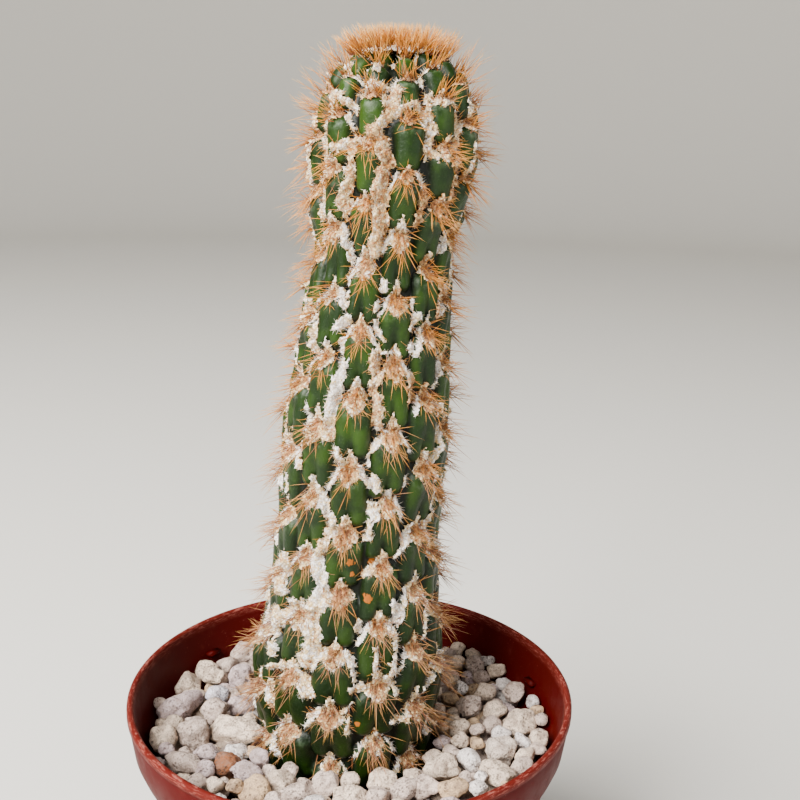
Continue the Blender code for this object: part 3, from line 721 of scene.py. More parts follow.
# Polypropylene has a slight wax, so the eye sees an even satin red with one soft, wide highlight; where the
# pot is handled, along its lip, it is rubbed paler and finely scratched
def moulded_polypropylene(pot):
    made, add, shader = start_material("Polypropylene, injection moulded", IOR=1.49, Specular_IOR_Level=0.06)
    place = add("TexCoord", "Object")
    height = add("SeparateXYZ", "Z", {"Vector": place})
    lip_foot, lip_top = (POT_HEIGHT - below for below in LIP_MARKS)
    at_lip = add("MapRange", 0, {0: height, 1: lip_foot, 2: lip_top, 4: 0.9}, **SMOOTH)
    # Dust and handling leave faint marks some millimetres long
    marks = add("TexNoise", 0, sized(place, 7.0, Detail=6, Roughness=0.7))
    rubbed = add("MapRange", 0, {0: marks, 1: 0.55, 2: 0.75, 4: 0.12}, **SMOOTH)
    # Scratches run round the lip: the noise is stretched along the turn by squeezing the height
    round_lip = add("Mapping", 0, {"Vector": place, "Scale": (1, 1, 9)})
    fine = add("TexNoise", 0, sized(round_lip, 2.2, Detail=5, Roughness=0.75))
    scratched = add("MapRange", 0, {0: fine, 1: 0.50, 2: 0.62, 4: 0.75}, **SMOOTH)
    # Specks of dust are finer than 0.3 mm and are drawn at 0.6 mm so that they show
    specks = add("TexNoise", 0, sized(place, 0.6, Detail=4, Roughness=0.6))
    dusty = add("MapRange", 0, {0: specks, 1: 0.66, 2: 0.74, 4: 0.50}, **SMOOTH)
    lip = add("Mix", 2, {0: scratched, 6: pot.lip, 7: pot.scuff}, **COLOURS)
    roughness = add("MapRange", 0, {0: marks, 1: 0.35, 2: 0.70, 3: 0.44, 4: 0.60}, **SMOOTH)
    # The mould's grain is about 0.05 mm and is drawn at 0.35 mm so that it shows
    grain = add("TexNoise", 0, sized(place, 0.35, Detail=2))
    swell = add("TexNoise", 0, sized(place, 9.0))
    finish_material(
        shader, pot.body, ((rubbed, pot.scuff), (dusty, pot.scuff), (at_lip, lip)),
        ((grain, 0.00003, 0.35), (swell, 0.00025, 0.25)), Roughness=roughness,
    )
    return made


# Peat soaks up light, so damp potting mix is dull and nearly black, with paler bits of bark in it
def damp_potting_mix(pot):
    made, add, shader = start_material("Peat and bark potting mix, damp", Roughness=0.95, IOR=1.4)
    place = add("TexCoord", "Object")
    # Bark is sieved to 2 or 3 mm
    bark = add("TexVoronoi", "Distance", sized(place, 2.6))
    bits = add("MapRange", 0, {0: bark, 1: 0.10, 2: 0.35, 3: 1, 4: 0}, **SMOOTH)
    crumbs = add("TexNoise", 0, sized(place, 0.6, Detail=3))
    finish_material(shader, pot.soil, ((bits, pot.bark),), ((bark, 0.0009, 0.8), (crumbs, 0.0003, 0.7)))
    return made


# Pumice is frozen froth, worn round by tumbling: chalky and without any gloss, each stone in its own tint,
# with painted shade down in its open pores, and specked with black crystals
def tumbled_pumice(pot):
    made, add, shader = start_material("Pumice, tumbled gravel", Roughness=0.95, IOR=1.5)
    place = add("TexCoord", "Object")
    tint = add("Attribute", "Color", attribute_name="tint")
    # Pores are 0.1 to 0.9 mm wide, and the finest are drawn at 0.4 mm so that they show
    ragged = add("TexNoise", "Color", sized(place, 0.9, Detail=3))
    ragged = add("VectorMath", "Vector", {0: ragged, 1: (0.0005, 0.0005, 0.0005)}, operation="MULTIPLY")
    shifted = add("VectorMath", "Vector", {0: place, 1: ragged}, operation="ADD")
    froth = add("TexVoronoi", "Distance", sized(shifted, 0.75))
    pores = add("MapRange", 0, {0: froth, 1: 0.12, 2: 0.46, 3: 0.8, 4: 0}, **SMOOTH)
    streams = add("TexNoise", 0, sized(place, 3.2, Detail=3))
    open_parts = add("MapRange", 0, {0: streams, 1: 0.44, 2: 0.54}, **SMOOTH)
    pores = add("Math", 0, {0: pores, 1: open_parts}, **PRODUCT)
    grain = add("TexNoise", 0, sized(place, 0.4, Detail=5, Roughness=0.75))
    fine = add("MapRange", 0, {0: grain, 1: 0.46, 2: 0.66, 4: 0.75}, **SMOOTH)
    clouds = add("TexNoise", 0, sized(place, 2.4, Detail=5, Roughness=0.65))
    stained = add("MapRange", 0, {0: clouds, 1: 0.42, 2: 0.66, 4: 0.55}, **SMOOTH)
    # Painted shade: the open pores are darkened towards the pore colour
    deep = add("Math", 0, {0: pores, 1: 0.7}, **PRODUCT)
    crystals = add("TexVoronoi", "Distance", sized(place, 4.0))
    black = add("MapRange", 0, {0: crystals, 1: 0.03, 2: 0.07, 3: 0.60, 4: 0}, **SMOOTH)
    depth = add("Math", 0, {0: 1.0, 1: pores}, operation="SUBTRACT")
    finish_material(
        shader, tint, ((stained, pot.dust), (fine, pot.dust), (deep, pot.pore), (black, pot.pore)),
        ((depth, 0.0006, 1.0), (grain, 0.0005, 1.0), (clouds, 0.0011, 0.8)),
    )
    return made


# A cactus skin is leathery under a thin coat of its own wax: deep green with a satin sheen on the side to the
# light, darkened down in the furrows by painted shade, greyish where the wax is thick, and tan and matt where
# it has corked
def waxy_cactus_skin(skin):
    made, add, shader = start_material(
        "Cactus skin with its waxy cuticle, as grown", IOR=1.42, Specular_IOR_Level=0.25
    )
    place = add("TexCoord", "Object")
    relief, bloom, cork = (
        add("Attribute", "Fac", attribute_name=name) for name in ("relief", "bloom", "cork")
    )
    patches = add("TexNoise", 0, sized(place, 6.0, Detail=3))
    young = add("MapRange", 0, {0: patches, 1: 0.40, 2: 0.66, 4: 0.55}, **SMOOTH)
    # The skin is darker towards the foot of the stem
    height = add("SeparateXYZ", "Z", {"Vector": place})
    darker_foot, darker_top = (POT_HEIGHT + above for above in DARKER_FOOT_HEIGHTS)
    old = add("MapRange", 0, {0: height, 1: darker_foot, 2: darker_top, 3: 0.5, 4: 0}, **SMOOTH)
    # Painted shade: the deeper the skin lies in a furrow, the nearer it is darkened to the furrow green
    painted_furrow_shade = add("MapRange", 0, {0: relief, 1: 0.15, 2: 0.85, 3: 1, 4: 0}, **SMOOTH)
    # Stomata and flecks of wax are about 0.1 mm wide and are drawn at 0.4 mm so that they show
    flecks = add("TexNoise", 0, sized(place, 0.4, Detail=3, Roughness=0.6))
    specks = add("MapRange", 0, {0: flecks, 1: 0.60, 2: 0.74, 4: 0.14}, **SMOOTH)
    smears = add("TexNoise", 0, sized(place, 1.6, Detail=4, Roughness=0.65))
    broken = add("MapRange", 0, {0: smears, 1: 0.42, 2: 0.64, 4: 0.45}, **SMOOTH)
    wax = add("Math", 0, {0: bloom, 1: broken}, **PRODUCT)
    edges = add("MapRange", 0, {0: smears, 1: 0.3, 2: 0.7, 3: -0.25, 4: 0.25}, **SMOOTH)
    ragged = add("Math", 0, {0: cork, 1: edges}, operation="ADD")
    scar = add("MapRange", 0, {0: ragged, 1: 0.42, 2: 0.55}, **SMOOTH)
    roughness = add("MapRange", 0, {0: scar, 3: 0.44, 4: 0.88})
    leather = add("TexNoise", 0, sized(place, 1.6, Detail=5))
    finish_material(
        shader, skin.green, (
            (young, skin.yellow), (old, skin.shade), (painted_furrow_shade, skin.shade), (specks, skin.bloom),
            (wax, skin.bloom), (scar, skin.cork),
        ),
        ((leather, 0.00030, 0.8), (flecks, 0.00004, 0.4)), Roughness=roughness,
    )
    return made


# Areole wool is a mat of dead hairs: dull and crumbly, clean white on its outer side and yellowed to tan with
# brown crumbs where it is old or holds the roots of the spines, and with painted shade in the gaps between
# its crumbs
def areole_wool_felt(wool):
    made, add, shader = start_material(
        "Areole wool, matted plant hairs", Roughness=0.95, IOR=1.45, Sheen_Weight=0.12, Sheen_Roughness=0.6
    )
    place = add("TexCoord", "Object")
    age = add("Attribute", "Fac", attribute_name="tone")
    # Single hairs are 0.02 mm thick, so the mat shows as crumbs of about 0.5 mm, each with its own tone
    crumbs = add("TexVoronoi", "Distance", sized(place, 0.50))
    lots = add("TexWhiteNoise", "Value", {"Vector": add("TexVoronoi", "Position", sized(place, 0.50))})
    drawn = add("MapRange", 0, {0: lots, 3: -0.36, 4: 0.40})
    drifts = add("TexNoise", 0, sized(place, 1.7, Detail=4))
    drifted = add("MapRange", 0, {0: drifts, 1: 0.35, 2: 0.70, 3: -0.18, 4: 0.24}, **SMOOTH)
    tone = add("Math", 0, {0: age, 1: drawn}, operation="ADD")
    tone = add("Math", 0, {0: tone, 1: drifted}, operation="ADD")
    creamed = add("MapRange", 0, {0: tone, 1: 0.0, 2: 0.45}, **SMOOTH)
    tanned = add("MapRange", 0, {0: tone, 1: 0.45, 2: 0.95}, **SMOOTH)
    dirt = add("TexNoise", 0, sized(place, 0.42, Detail=3, Roughness=0.7))
    specks = add("MapRange", 0, {0: dirt, 1: 0.52, 2: 0.65}, **SMOOTH)
    held = add("MapRange", 0, {0: tone, 1: 0.15, 2: 0.90, 3: 0.08, 4: 0.85}, **SMOOTH)
    stained = add("Math", 0, {0: specks, 1: held}, **PRODUCT)
    # Painted shade: the gaps between the crumbs are darkened towards the dark crumbs' colour
    painted_gap_shade = add("MapRange", 0, {0: crumbs, 1: 0.30, 2: 0.62, 4: 0.40}, **SMOOTH)
    heap = add("Math", 0, {0: 1.0, 1: crumbs}, operation="SUBTRACT")
    finish_material(
        shader, wool.white,
        ((creamed, wool.cream), (tanned, wool.tan), (stained, wool.dark), (painted_gap_shade, wool.dark)),
        ((heap, 0.00040, 0.9), (dirt, 0.00022, 0.8)),
    )
    return made


# Spines are scales of hard horn, smooth and a little shiny: amber at the root, golden along the shaft and
# straw pale at the tip, and reddish brown where they are old
def golden_spine_horn(spine):
    made, add, shader = start_material("Cactus spines, hardened and horny", Roughness=0.42, IOR=1.5)
    along, age, tone = (add("Attribute", "Fac", attribute_name=name) for name in ("along", "age", "tone"))
    aged = add("MapRange", 0, {0: age, 1: 0.2, 2: 0.8}, **SMOOTH)
    paler = add("Math", 0, {0: tone, 1: 0.35}, **PRODUCT)
    at_root = add("MapRange", 0, {0: along, 1: 0.0, 2: 0.62, 3: 0.92, 4: 0}, **SMOOTH)
    at_tip = add("MapRange", 0, {0: along, 1: 0.60, 2: 1.0, 4: 0.55}, **SMOOTH)
    finish_material(
        shader, spine.gold,
        ((aged, spine.old), (paler, spine.tip), (at_root, spine.amber), (at_tip, spine.tip)),
    )
    return made


# Matt emulsion scatters all light evenly, so the floor is pale and dull with the faint mottle of a roller
def painted_floor(stage):
    made, add, shader = start_material(
        "Matt emulsion on board, rolled", Roughness=0.85, IOR=1.5, Base_Color=stage.floor
    )
    mottle = add("TexNoise", 0, sized(add("TexCoord", "Object"), 4.0))
    finish_material(shader, bumps=((mottle, 0.00005, 0.2),))
    return made


# Meshes


def mesh_piece(name, places, faces, surface, attributes=None, colours=None):
    """A smooth mesh object from points and faces, with values and colours stored on its points."""
    mesh = bpy.data.meshes.new(name)
    mesh.from_pydata(np.asarray(places).tolist(), [], [tuple(face) for face in faces])
    mesh.materials.append(surface)
    for kind, field, stored in (("FLOAT", "value", attributes), ("FLOAT_COLOR", "color", colours)):
        for key, values in (stored or {}).items():
            layer = mesh.attributes.new(key, kind, "POINT")
            layer.data.foreach_set(field, np.asarray(values, np.float32).ravel())
    mesh.polygons.foreach_set("use_smooth", [True] * len(mesh.polygons))
    mesh.update()
    piece = bpy.data.objects.new(name, mesh)
    bpy.context.scene.collection.objects.link(piece)
    return piece


def settle(piece, node):
    """Puts a finished piece on the plant's one body, in the place of a solid."""
    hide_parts(node)
    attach(piece, "root")


def ring_faces(rows, columns):
    """Four-cornered faces of a net of points that closes round its columns."""
    first = np.arange(rows - 1)[:, None] * columns
    here = np.arange(columns)[None]
    after = (here + 1) % columns
    corners = (first + here, first + after, first + columns + after, first + columns + here)
    return np.stack(corners, axis=-1).reshape(-1, 4)


def fan_faces(first, columns, centre, flipped):
    """Three-cornered faces from a ring of points to a point in its middle."""
    here = first + np.arange(columns)
    after = first + (np.arange(columns) + 1) % columns
    ring = (after, here) if flipped else (here, after)
    return np.stack([*ring, np.full(columns, centre)], axis=-1)


def closed_faces(rows, columns):
    """Faces of a net closed at both ends, each by one of the two points that follow the net's own."""
    count = rows * columns
    faces = [ring_faces(rows, columns), fan_faces(0, columns, count, True)]
    faces.append(fan_faces(count - columns, columns, count + 1, False))
    return [face for part in faces for face in part.tolist()]


def turned_rings(profile, sides):
    """Points of a (radius, height) profile turned about the upright axis."""
    angles = np.arange(sides) * 2 * math.pi / sides
    rings = [
        np.stack([radius * np.cos(angles), radius * np.sin(angles), np.full(sides, height)], axis=-1)
        for radius, height in profile
    ]
    return np.concatenate(rings)


def kept_net(places, faces, values):
    """The points, faces and values that are left when a net keeps only some of its faces."""
    used, index = np.unique(faces, return_inverse=True)
    kept_values = {key: np.ravel(value)[used] for key, value in values.items()}
    return places.reshape(-1, 3)[used], index.reshape(faces.shape).tolist(), kept_values


def blurred(values, passes):
    """Values on a net that closes round its columns, each pass averaging every point with its neighbours."""
    for _ in range(passes):
        values = (np.roll(values, 1, axis=1) + 2 * values + np.roll(values, -1, axis=1)) / 4
        padded = np.concatenate([values[:1], values, values[-1:]])
        values = (padded[:-2] + 2 * padded[1:-1] + padded[2:]) / 4
    return values


def speckle(shape, draw, passes):
    """Even random lumps on a net, wider with more passes, with a spread of one."""
    values = blurred(draw.normal(size=shape), passes)
    return values / values.std()


def smooth_larger(first, second, width):
    """The larger of two values, rounded over where they are within a width of each other."""
    near = np.maximum(width - np.abs(first - second), 0) / width
    return np.maximum(first, second) + near**2 * width / 4


def by_table(table, values):
    """Reads a table of (key, value) rows, and between its rows."""
    return np.interp(values, [row[0] for row in table], [row[1] for row in table])


# The stem's form


def smooth_outline():
    """(heights, radii) of the outline's points joined by a smooth curve."""
    points = np.array(STEM_OUTLINE)
    reach = np.concatenate([[0], np.cumsum(np.hypot(*np.diff(points, axis=0).T))])
    along = np.linspace(0, reach[-1], CURVE_POINTS)
    k = np.clip(np.searchsorted(reach, along, side="right") - 1, 0, len(reach) - 2)
    span = reach[k + 1] - reach[k]
    q = (along - reach[k]) / span
    curves = []
    for values in points.T:
        slope = np.gradient(values, reach)
        start = values[k] * (2 * q**3 - 3 * q**2 + 1) + slope[k] * span * (q**3 - 2 * q**2 + q)
        end = values[k + 1] * (3 * q**2 - 2 * q**3) + slope[k + 1] * span * (q**3 - q**2)
        curves.append(start + end)
    return curves


class StemForm:
    """The stem's form, read by rib (0 to 13 round it) and level (areole spacings up from the stones)."""

    def __init__(self):
        self.heights, self.radii = smooth_outline()
        self.radii = np.maximum(self.radii, 0)
        steps = np.hypot(np.diff(self.heights), np.diff(self.radii))
        middle = (self.heights[1:] + self.heights[:-1]) / 2
        self.pitches = by_table(PITCHES, self.heights)
        levels = np.concatenate([[0], np.cumsum(steps / by_table(PITCHES, middle))])
        lower = slice(0, CURVE_POINTS // 2)
        self.levels = levels - np.interp(GRAVEL_LEVEL, self.heights[lower], levels[lower])
        self.reach = np.concatenate([[0], np.cumsum(steps)])
        self.top = self.levels[-1]
        self.wander = np.random.default_rng(12).uniform(-1, 1, size=(RIBS, WANDER_ROWS, 4))

    def radius(self, level):
        """The stem's radius over the lobes."""
        return np.interp(level, self.levels, self.radii)

    def height(self, level):
        """The height over the pot's lip."""
        return np.interp(level, self.levels, self.heights)

    def pitch(self, level):
        """The spacing of the areoles."""
        return np.interp(level, self.levels, self.pitches)

    def rows(self, start, end, step):
        """Levels evenly spaced along the stem's side between two levels."""
        first, last = np.interp((start, end), self.levels, self.reach)
        count = max(2, round((last - first) / step) + 1)
        return np.interp(np.linspace(first, last, count), self.reach, self.levels)

    def phase(self, rib):
        """The level of a rib's first areole."""
        return FIRST_AREOLE + RIB_STAGGER * (rib % RIBS)

    def angle(self, rib, level):
        """The turn about the stem from the front."""
        return FIRST_RIB_ANGLE + np.radians(by_table(RIB_TWIST, level)) + 2 * math.pi * rib / RIBS

    def normal(self, rib, level):
        """The outward way at right angles to the stem's side."""
        above, below = level + SLOPE_STEP, level - SLOPE_STEP
        rise = self.height(above) - self.height(below)
        widen = self.radius(above) - self.radius(below)
        slant = np.hypot(rise, widen) + 1e-12
        angle = self.angle(rib, level)
        out = rise / slant
        return np.stack([np.sin(angle) * out, -np.cos(angle) * out, -widen / slant], axis=-1)

    def place(self, rib, level, lift=0.0):
        """Places on the stem, lifted along its outward normals."""
        rib, level = np.broadcast_arrays(np.asarray(rib, float), np.asarray(level, float))
        angle = self.angle(rib, level)
        radius = self.radius(level)
        height = self.height(level)
        lean = by_table(STEM_LEAN, height)
        ground = (np.sin(angle) * radius + lean, -np.cos(angle) * radius, POT_HEIGHT + height)
        return np.stack(ground, axis=-1) + self.normal(rib, level) * np.asarray(lift)[..., None]

    def lobe(self, rib, level, nearest):
        """Height in mm of one rib's paired lobes over the bottoms of the furrows."""
        across = (rib - nearest) * RIB_WIDTH
        down = (self.phase(nearest) - level) % 1
        index = np.round(level + down - self.phase(nearest)).astype(int) + WANDER_START
        wander = self.wander[nearest.astype(int) % RIBS, np.clip(index, 0, WANDER_ROWS - 1)]
        below = -down * AREOLE_SPACING
        in_head = np.clip((level - HEAD_START) / HEAD_BLEND, 0, 1)
        splay = 1 - HEAD_CLOSING * in_head
        swell = 1 + HEAD_SWELL * in_head
        best = None
        for side in (-1, 1):
            top_x = side * LEG_TOP[0] * splay + LEG_WANDER[0] * wander[..., 0]
            foot_x = side * LEG_FOOT[0] * splay + LEG_WANDER[1] * wander[..., 1]
            foot_y = LEG_FOOT[1] + LEG_WANDER[2] * wander[..., 2 + (side > 0)]
            along_x, along_y = foot_x - top_x, foot_y - LEG_TOP[1]
            share = ((across - top_x) * along_x + (below - LEG_TOP[1]) * along_y) / (along_x**2 + along_y**2)
            share = np.clip(share, 0, 1)
            away = np.hypot(across - top_x - share * along_x, below - LEG_TOP[1] - share * along_y)
            radius = (LEG_TOP_RADIUS + share * (LEG_FOOT_RADIUS - LEG_TOP_RADIUS)) * swell
            height = LOBE_HEIGHT[0] + share * (LOBE_HEIGHT[1] - LOBE_HEIGHT[0])
            dome = height * np.clip(1 - (away / radius) ** LOBE_POWER, 0, None) ** (1 / LOBE_POWER)
            best = dome if best is None else smooth_larger(best, dome, LEG_BLEND)
        share = np.clip((LEG_TOP[1] - below) / (LEG_TOP[1] - LEG_FOOT[1]), 0, CLEFT_LAST_SHARE)
        start = CLEFT_HEIGHT[0] + in_head * (HEAD_CLEFT_HEIGHT[0] - CLEFT_HEIGHT[0])
        fall = (1 - in_head) * (CLEFT_HEIGHT[0] - CLEFT_HEIGHT[1]) + in_head * (
            HEAD_CLEFT_HEIGHT[0] - HEAD_CLEFT_HEIGHT[1])
        ends = np.clip(1 - (np.abs(below - CLEFT_MIDDLE) / CLEFT_REACH) ** CLEFT_POWER, 0, 1)
        wider = in_head * (HEAD_CLEFT_WIDTH[0] - HEAD_CLEFT_WIDTH[1] * share)
        half_width = CLEFT_HALF_WIDTH * (1 + wider)
        cleft = (start - fall * share) * np.clip(1 - (across / half_width) ** 2, 0, 1) * ends
        return smooth_larger(best, cleft, CLEFT_BLEND)

    def relief(self, rib, level):
        """Depth of the skin in mm under the lobes' tops, as a negative height."""
        rib, level = np.broadcast_arrays(np.asarray(rib, float), np.asarray(level, float))
        nearest = np.round(rib)
        side = np.where(rib >= nearest, 1, -1)
        lobes = (self.lobe(rib, level, nearest), self.lobe(rib, level, nearest + side))
        height = smooth_larger(*lobes, RIB_BLEND)
        # Between the legs and at the joints the skin lies less deep than in the long furrows
        saddle = SADDLE_HEIGHT * (1 - (2 * np.abs(rib - nearest)) ** 2)
        height = smooth_larger(height, saddle, SADDLE_BLEND)
        at_foot = np.clip((level - LOBES_END) / LOBES_FADE, 0, 1)
        at_tip = np.clip(self.radius(level) / TIP_RADIUS, 0, 1)
        return (height - LOBE_HEIGHT[0]) * at_foot * at_tip

    def skin(self, rib, level, lift_mm=0.0):
        """Places on the skin, lifted by millimetres."""
        return self.place(rib, level, (self.relief(rib, level) + lift_mm) * MM)

    def areoles(self, first, last):
        """(rib, level) of every areole between two levels."""
        found = []
        for rib in range(RIBS):
            level = self.phase(rib) % 1
            while level < last:
                if level >= first:
                    found.append((rib, level))
                level += 1
        return np.array(found, float)


def bloom_pattern(form, ribs, levels):
    """Where the waxy bloom lies: round the lower edge of each areole, and a little along its arms."""
    down = (form.phase(np.round(ribs))[None] - levels[:, None]) % 1
    across = np.abs(ribs - np.round(ribs))[None]
    middle, depth, half_width = BLOOM_UNDER
    under = np.exp(-((down - middle) / depth) ** 2) * np.clip(1 - (across / half_width) ** 2, 0, 1)
    middle, depth, middle_rib, depth_rib = BLOOM_BESIDE
    beside = np.exp(-((down - middle) / depth) ** 2 - ((across - middle_rib) / depth_rib) ** 2)
    return under + BLOOM_BESIDE_SHARE * beside


def stem_skin(form, surface):
    """The green stem with its lobes, from the foot in the potting mix to the growing tip."""
    levels = np.concatenate([
        form.rows(form.levels[0], BURIED_LEVEL, BURIED_STEP)[:-1],
        form.rows(BURIED_LEVEL, form.top - TIP_ROOM, SKIN_STEP),
    ])
    ribs = np.arange(SKIN_COLUMNS) * RIBS / SKIN_COLUMNS
    relief = form.relief(ribs[None], levels[:, None])
    uneven = SKIN_UNEVENNESS * speckle(relief.shape, np.random.default_rng(21), 14)
    places = form.place(ribs[None], levels[:, None], (relief + uneven) * MM).reshape(-1, 3)
    ends = [(by_table(STEM_LEAN, height), 0, POT_HEIGHT + height) for height in form.heights[[0, -1]]]
    cork = np.zeros_like(relief)
    for rib, level, half_width, half_height in CORK_SCARS:
        away = np.hypot((ribs[None] - rib) / half_width, (levels[:, None] - level) / half_height)
        cork = np.maximum(cork, 1 - away)
    values = {
        "relief": relief / LOBE_HEIGHT[0] + 1,
        "bloom": bloom_pattern(form, ribs, levels),
        "cork": cork,
    }
    values = {key: np.append(value.ravel(), (0, 0)) for key, value in values.items()}
    faces = closed_faces(len(levels), SKIN_COLUMNS)
    return mesh_piece("stem_skin", np.concatenate([places, ends]), faces, surface, values)


# Wool


class WoolSheet:
    """The thickness of the wool over the skin on an even net of points, in millimetres."""

    def __init__(self, form, seed):
        self.form = form
        self.draw = np.random.default_rng(seed)
        self.ribs = np.arange(WOOL_COLUMNS) * RIBS / WOOL_COLUMNS
        self.levels = form.rows(WOOL_FOOT, form.top - WOOL_TIP_ROOM, WOOL_STEP)
        shape = (len(self.levels), WOOL_COLUMNS)
        self.thickness = np.full(shape, -1.0)
        self.tone = np.zeros(shape)
        self.ragged = speckle(shape, self.draw, 3)
        self.fine = speckle(shape, self.draw, 1)

    def window(self, ribs, levels, margin_ribs, margin_levels):
        """(index of the net's points round some ribs and levels, their ribs, their levels)."""
        first = math.floor((min(ribs) - margin_ribs) * WOOL_COLUMNS / RIBS)
        last = math.ceil((max(ribs) + margin_ribs) * WOOL_COLUMNS / RIBS)
        columns = np.arange(first, last + 1)
        low, high = np.searchsorted(self.levels, (min(levels) - margin_levels, max(levels) + margin_levels))
        picked = np.ix_(np.arange(low, high), columns % WOOL_COLUMNS)
        return picked, (columns * RIBS / WOOL_COLUMNS)[None], self.levels[low:high, None]

    def lay(self, picked, thickness, tone):
        """Lays wool where it is thicker than what lies there."""
        old = self.thickness[picked]
        thicker = thickness > old
        self.thickness[picked] = np.where(thicker, thickness, old)
        self.tone[picked] = np.where(thicker, tone, self.tone[picked])

    def streak(self, half_width, tone, points):
        """A streak through (rib, level) points."""
        if points[0][1] > HEAD_LEVEL:
            half_width *= HEAD_STREAK_SHARE
        for start, end in zip(points, points[1:]):
            middle = (start[1] + end[1]) / 2
            rib_mm = 2000 * math.pi * float(self.form.radius(middle)) / RIBS
            level_mm = 1000 * float(self.form.pitch(middle))
            room = half_width + STREAK_ROOM
            ends = zip(start, end)
            picked, ribs, levels = self.window(*ends, room / rib_mm, room / level_mm)
            x, y = (ribs - start[0]) * rib_mm, (levels - start[1]) * level_mm
            way_x, way_y = (end[0] - start[0]) * rib_mm, (end[1] - start[1]) * level_mm
            share = np.clip((x * way_x + y * way_y) / (way_x**2 + way_y**2), 0, 1)
            away = np.hypot(x - share * way_x, y - share * way_y)
            away = np.maximum(away + STREAK_RAGGEDNESS * self.ragged[picked] * min(1, half_width), 0)
            least, more, most = STREAK_FULLNESS
            thickness = STREAK_THICKNESS * min(most, least + more * half_width)
            self.lay(picked, thickness * (1 - (away / half_width) ** 2), tone)

    def pad(self, rib, level, size, tone):
        """The kite of wool on an areole, with its thin end up."""
        picked, ribs, levels = self.window((rib, rib), (level, level), *PAD_ROOM)
        x = (ribs - rib) * RIB_WIDTH / size
        y = (levels - level) * AREOLE_SPACING / size
        upper = np.clip((PAD_TOP - y) / PAD_TAPERS[0], 0, 1) ** PAD_POWERS[0]
        lower = np.clip((y + PAD_FOOT) / PAD_TAPERS[1], 0, 1) ** PAD_POWERS[1]
        half_width = PAD_HALF_WIDTH * np.minimum(upper, lower) + PAD_EDGE
        away = np.maximum(np.abs(x) + PAD_RAGGEDNESS * self.ragged[picked], 0)
        thickness = np.maximum(PAD_THICKNESS * (1 - (away / half_width) ** 2), -1)
        thickness = np.where((y > PAD_TOP) | (y < -PAD_FOOT), -1, thickness)
        centre = np.exp(-(x**2 + (y + PAD_CENTRE[0]) ** 2) / PAD_CENTRE[1])
        self.lay(picked, thickness, np.clip(tone + PAD_MIDDLE * centre, 0, 1))

    def to_piece(self, name, surface):
        """The wool's outer side, down to where it passes into the skin."""
        relief = self.form.relief(self.ribs[None], self.levels[:, None])
        filled = np.maximum(blurred(relief, WOOL_BLUR) - relief, 0)
        held = np.clip(self.thickness * WOOL_HOLD, 0, 1)
        height = self.thickness + held * (filled + WOOL_GRAIN * self.fine + WOOL_LUMPS * self.ragged)
        places = self.form.place(self.ribs[None], self.levels[:, None], (relief + height) * MM)
        faces = ring_faces(len(self.levels), WOOL_COLUMNS)
        corners = height.ravel()[faces]
        faces = faces[(corners > -WOOL_EDGE).all(axis=1) & (corners > 0).any(axis=1)]
        tone = self.tone + HEAD_YELLOWING * np.clip(self.levels - HEAD_LEVEL, 0, 1)[:, None]
        places, faces, values = kept_net(places, faces, {"tone": tone})
        return mesh_piece(name, places, faces, surface, values)


def hidden_streaks(sheet):
    """Streaks laid by rule in the furrows that the front doesn't show."""
    draw = sheet.draw
    for furrow in range(RIBS):
        rib = furrow + 0.5
        if MEASURED_RIBS[0] < (rib + 3) % RIBS - 3 < MEASURED_RIBS[1]:
            continue
        level = HIDDEN_LEVELS[0] + draw.uniform(0, HIDDEN_START)
        while level < HIDDEN_LEVELS[1]:
            in_head = level > NECK_LEVEL
            length = draw.uniform(*HIDDEN_LENGTHS) * (HEAD_LONGER if in_head else 1)
            if draw.uniform() < HIDDEN_STREAK_SHARE * (HEAD_MORE if in_head else 1):
                count = max(2, round(length / POINT_SPACING))
                steps = level + length * np.arange(count) / (count - 1)
                points = [(rib + draw.uniform(-HIDDEN_WAVER, HIDDEN_WAVER), step) for step in steps]
                sheet.streak(draw.uniform(*HIDDEN_WIDTHS), draw.uniform(*HIDDEN_TONES), points)
            level += length + draw.uniform(*HIDDEN_ROOM)


def furrow_wool(form, surface):
    """The streaks of wool along the furrows, as seen on the front and by rule on the other sides."""
    sheet = WoolSheet(form, 21)
    for half_width, tone, *points in WOOL_STREAKS:
        sheet.streak(half_width, tone, points)
    hidden_streaks(sheet)
    return sheet.to_piece("furrow_wool", surface)


def areole_wool(form, surface):
    """The kites of wool on the areoles, with the arms that hang from their sides."""
    sheet = WoolSheet(form, 22)
    draw = sheet.draw
    for rib, level in form.areoles(WOOLLY_FOOT, form.top - WOOLLY_TIP_ROOM):
        tan = PAD_TONES[0] if level < NECK_LEVEL else PAD_TONES[1]
        size = draw.uniform(*PAD_SIZES) * (HEAD_PAD_SHARE if level > HEAD_LEVEL else 1)
        sheet.pad(rib, level, size, tan * draw.uniform(*PAD_TONE_SPREAD))
        for side in (-1, 1):
            if draw.uniform() < ARM_SHARE:
                start = (rib + side * ARM_START[0], level + ARM_START[1])
                end = (rib + side * draw.uniform(*ARM_REACHES), level - draw.uniform(*ARM_DROPS))
                sheet.streak(draw.uniform(*ARM_WIDTHS), ARM_TONE, (start, end))
    return sheet.to_piece("areole_wool", surface)


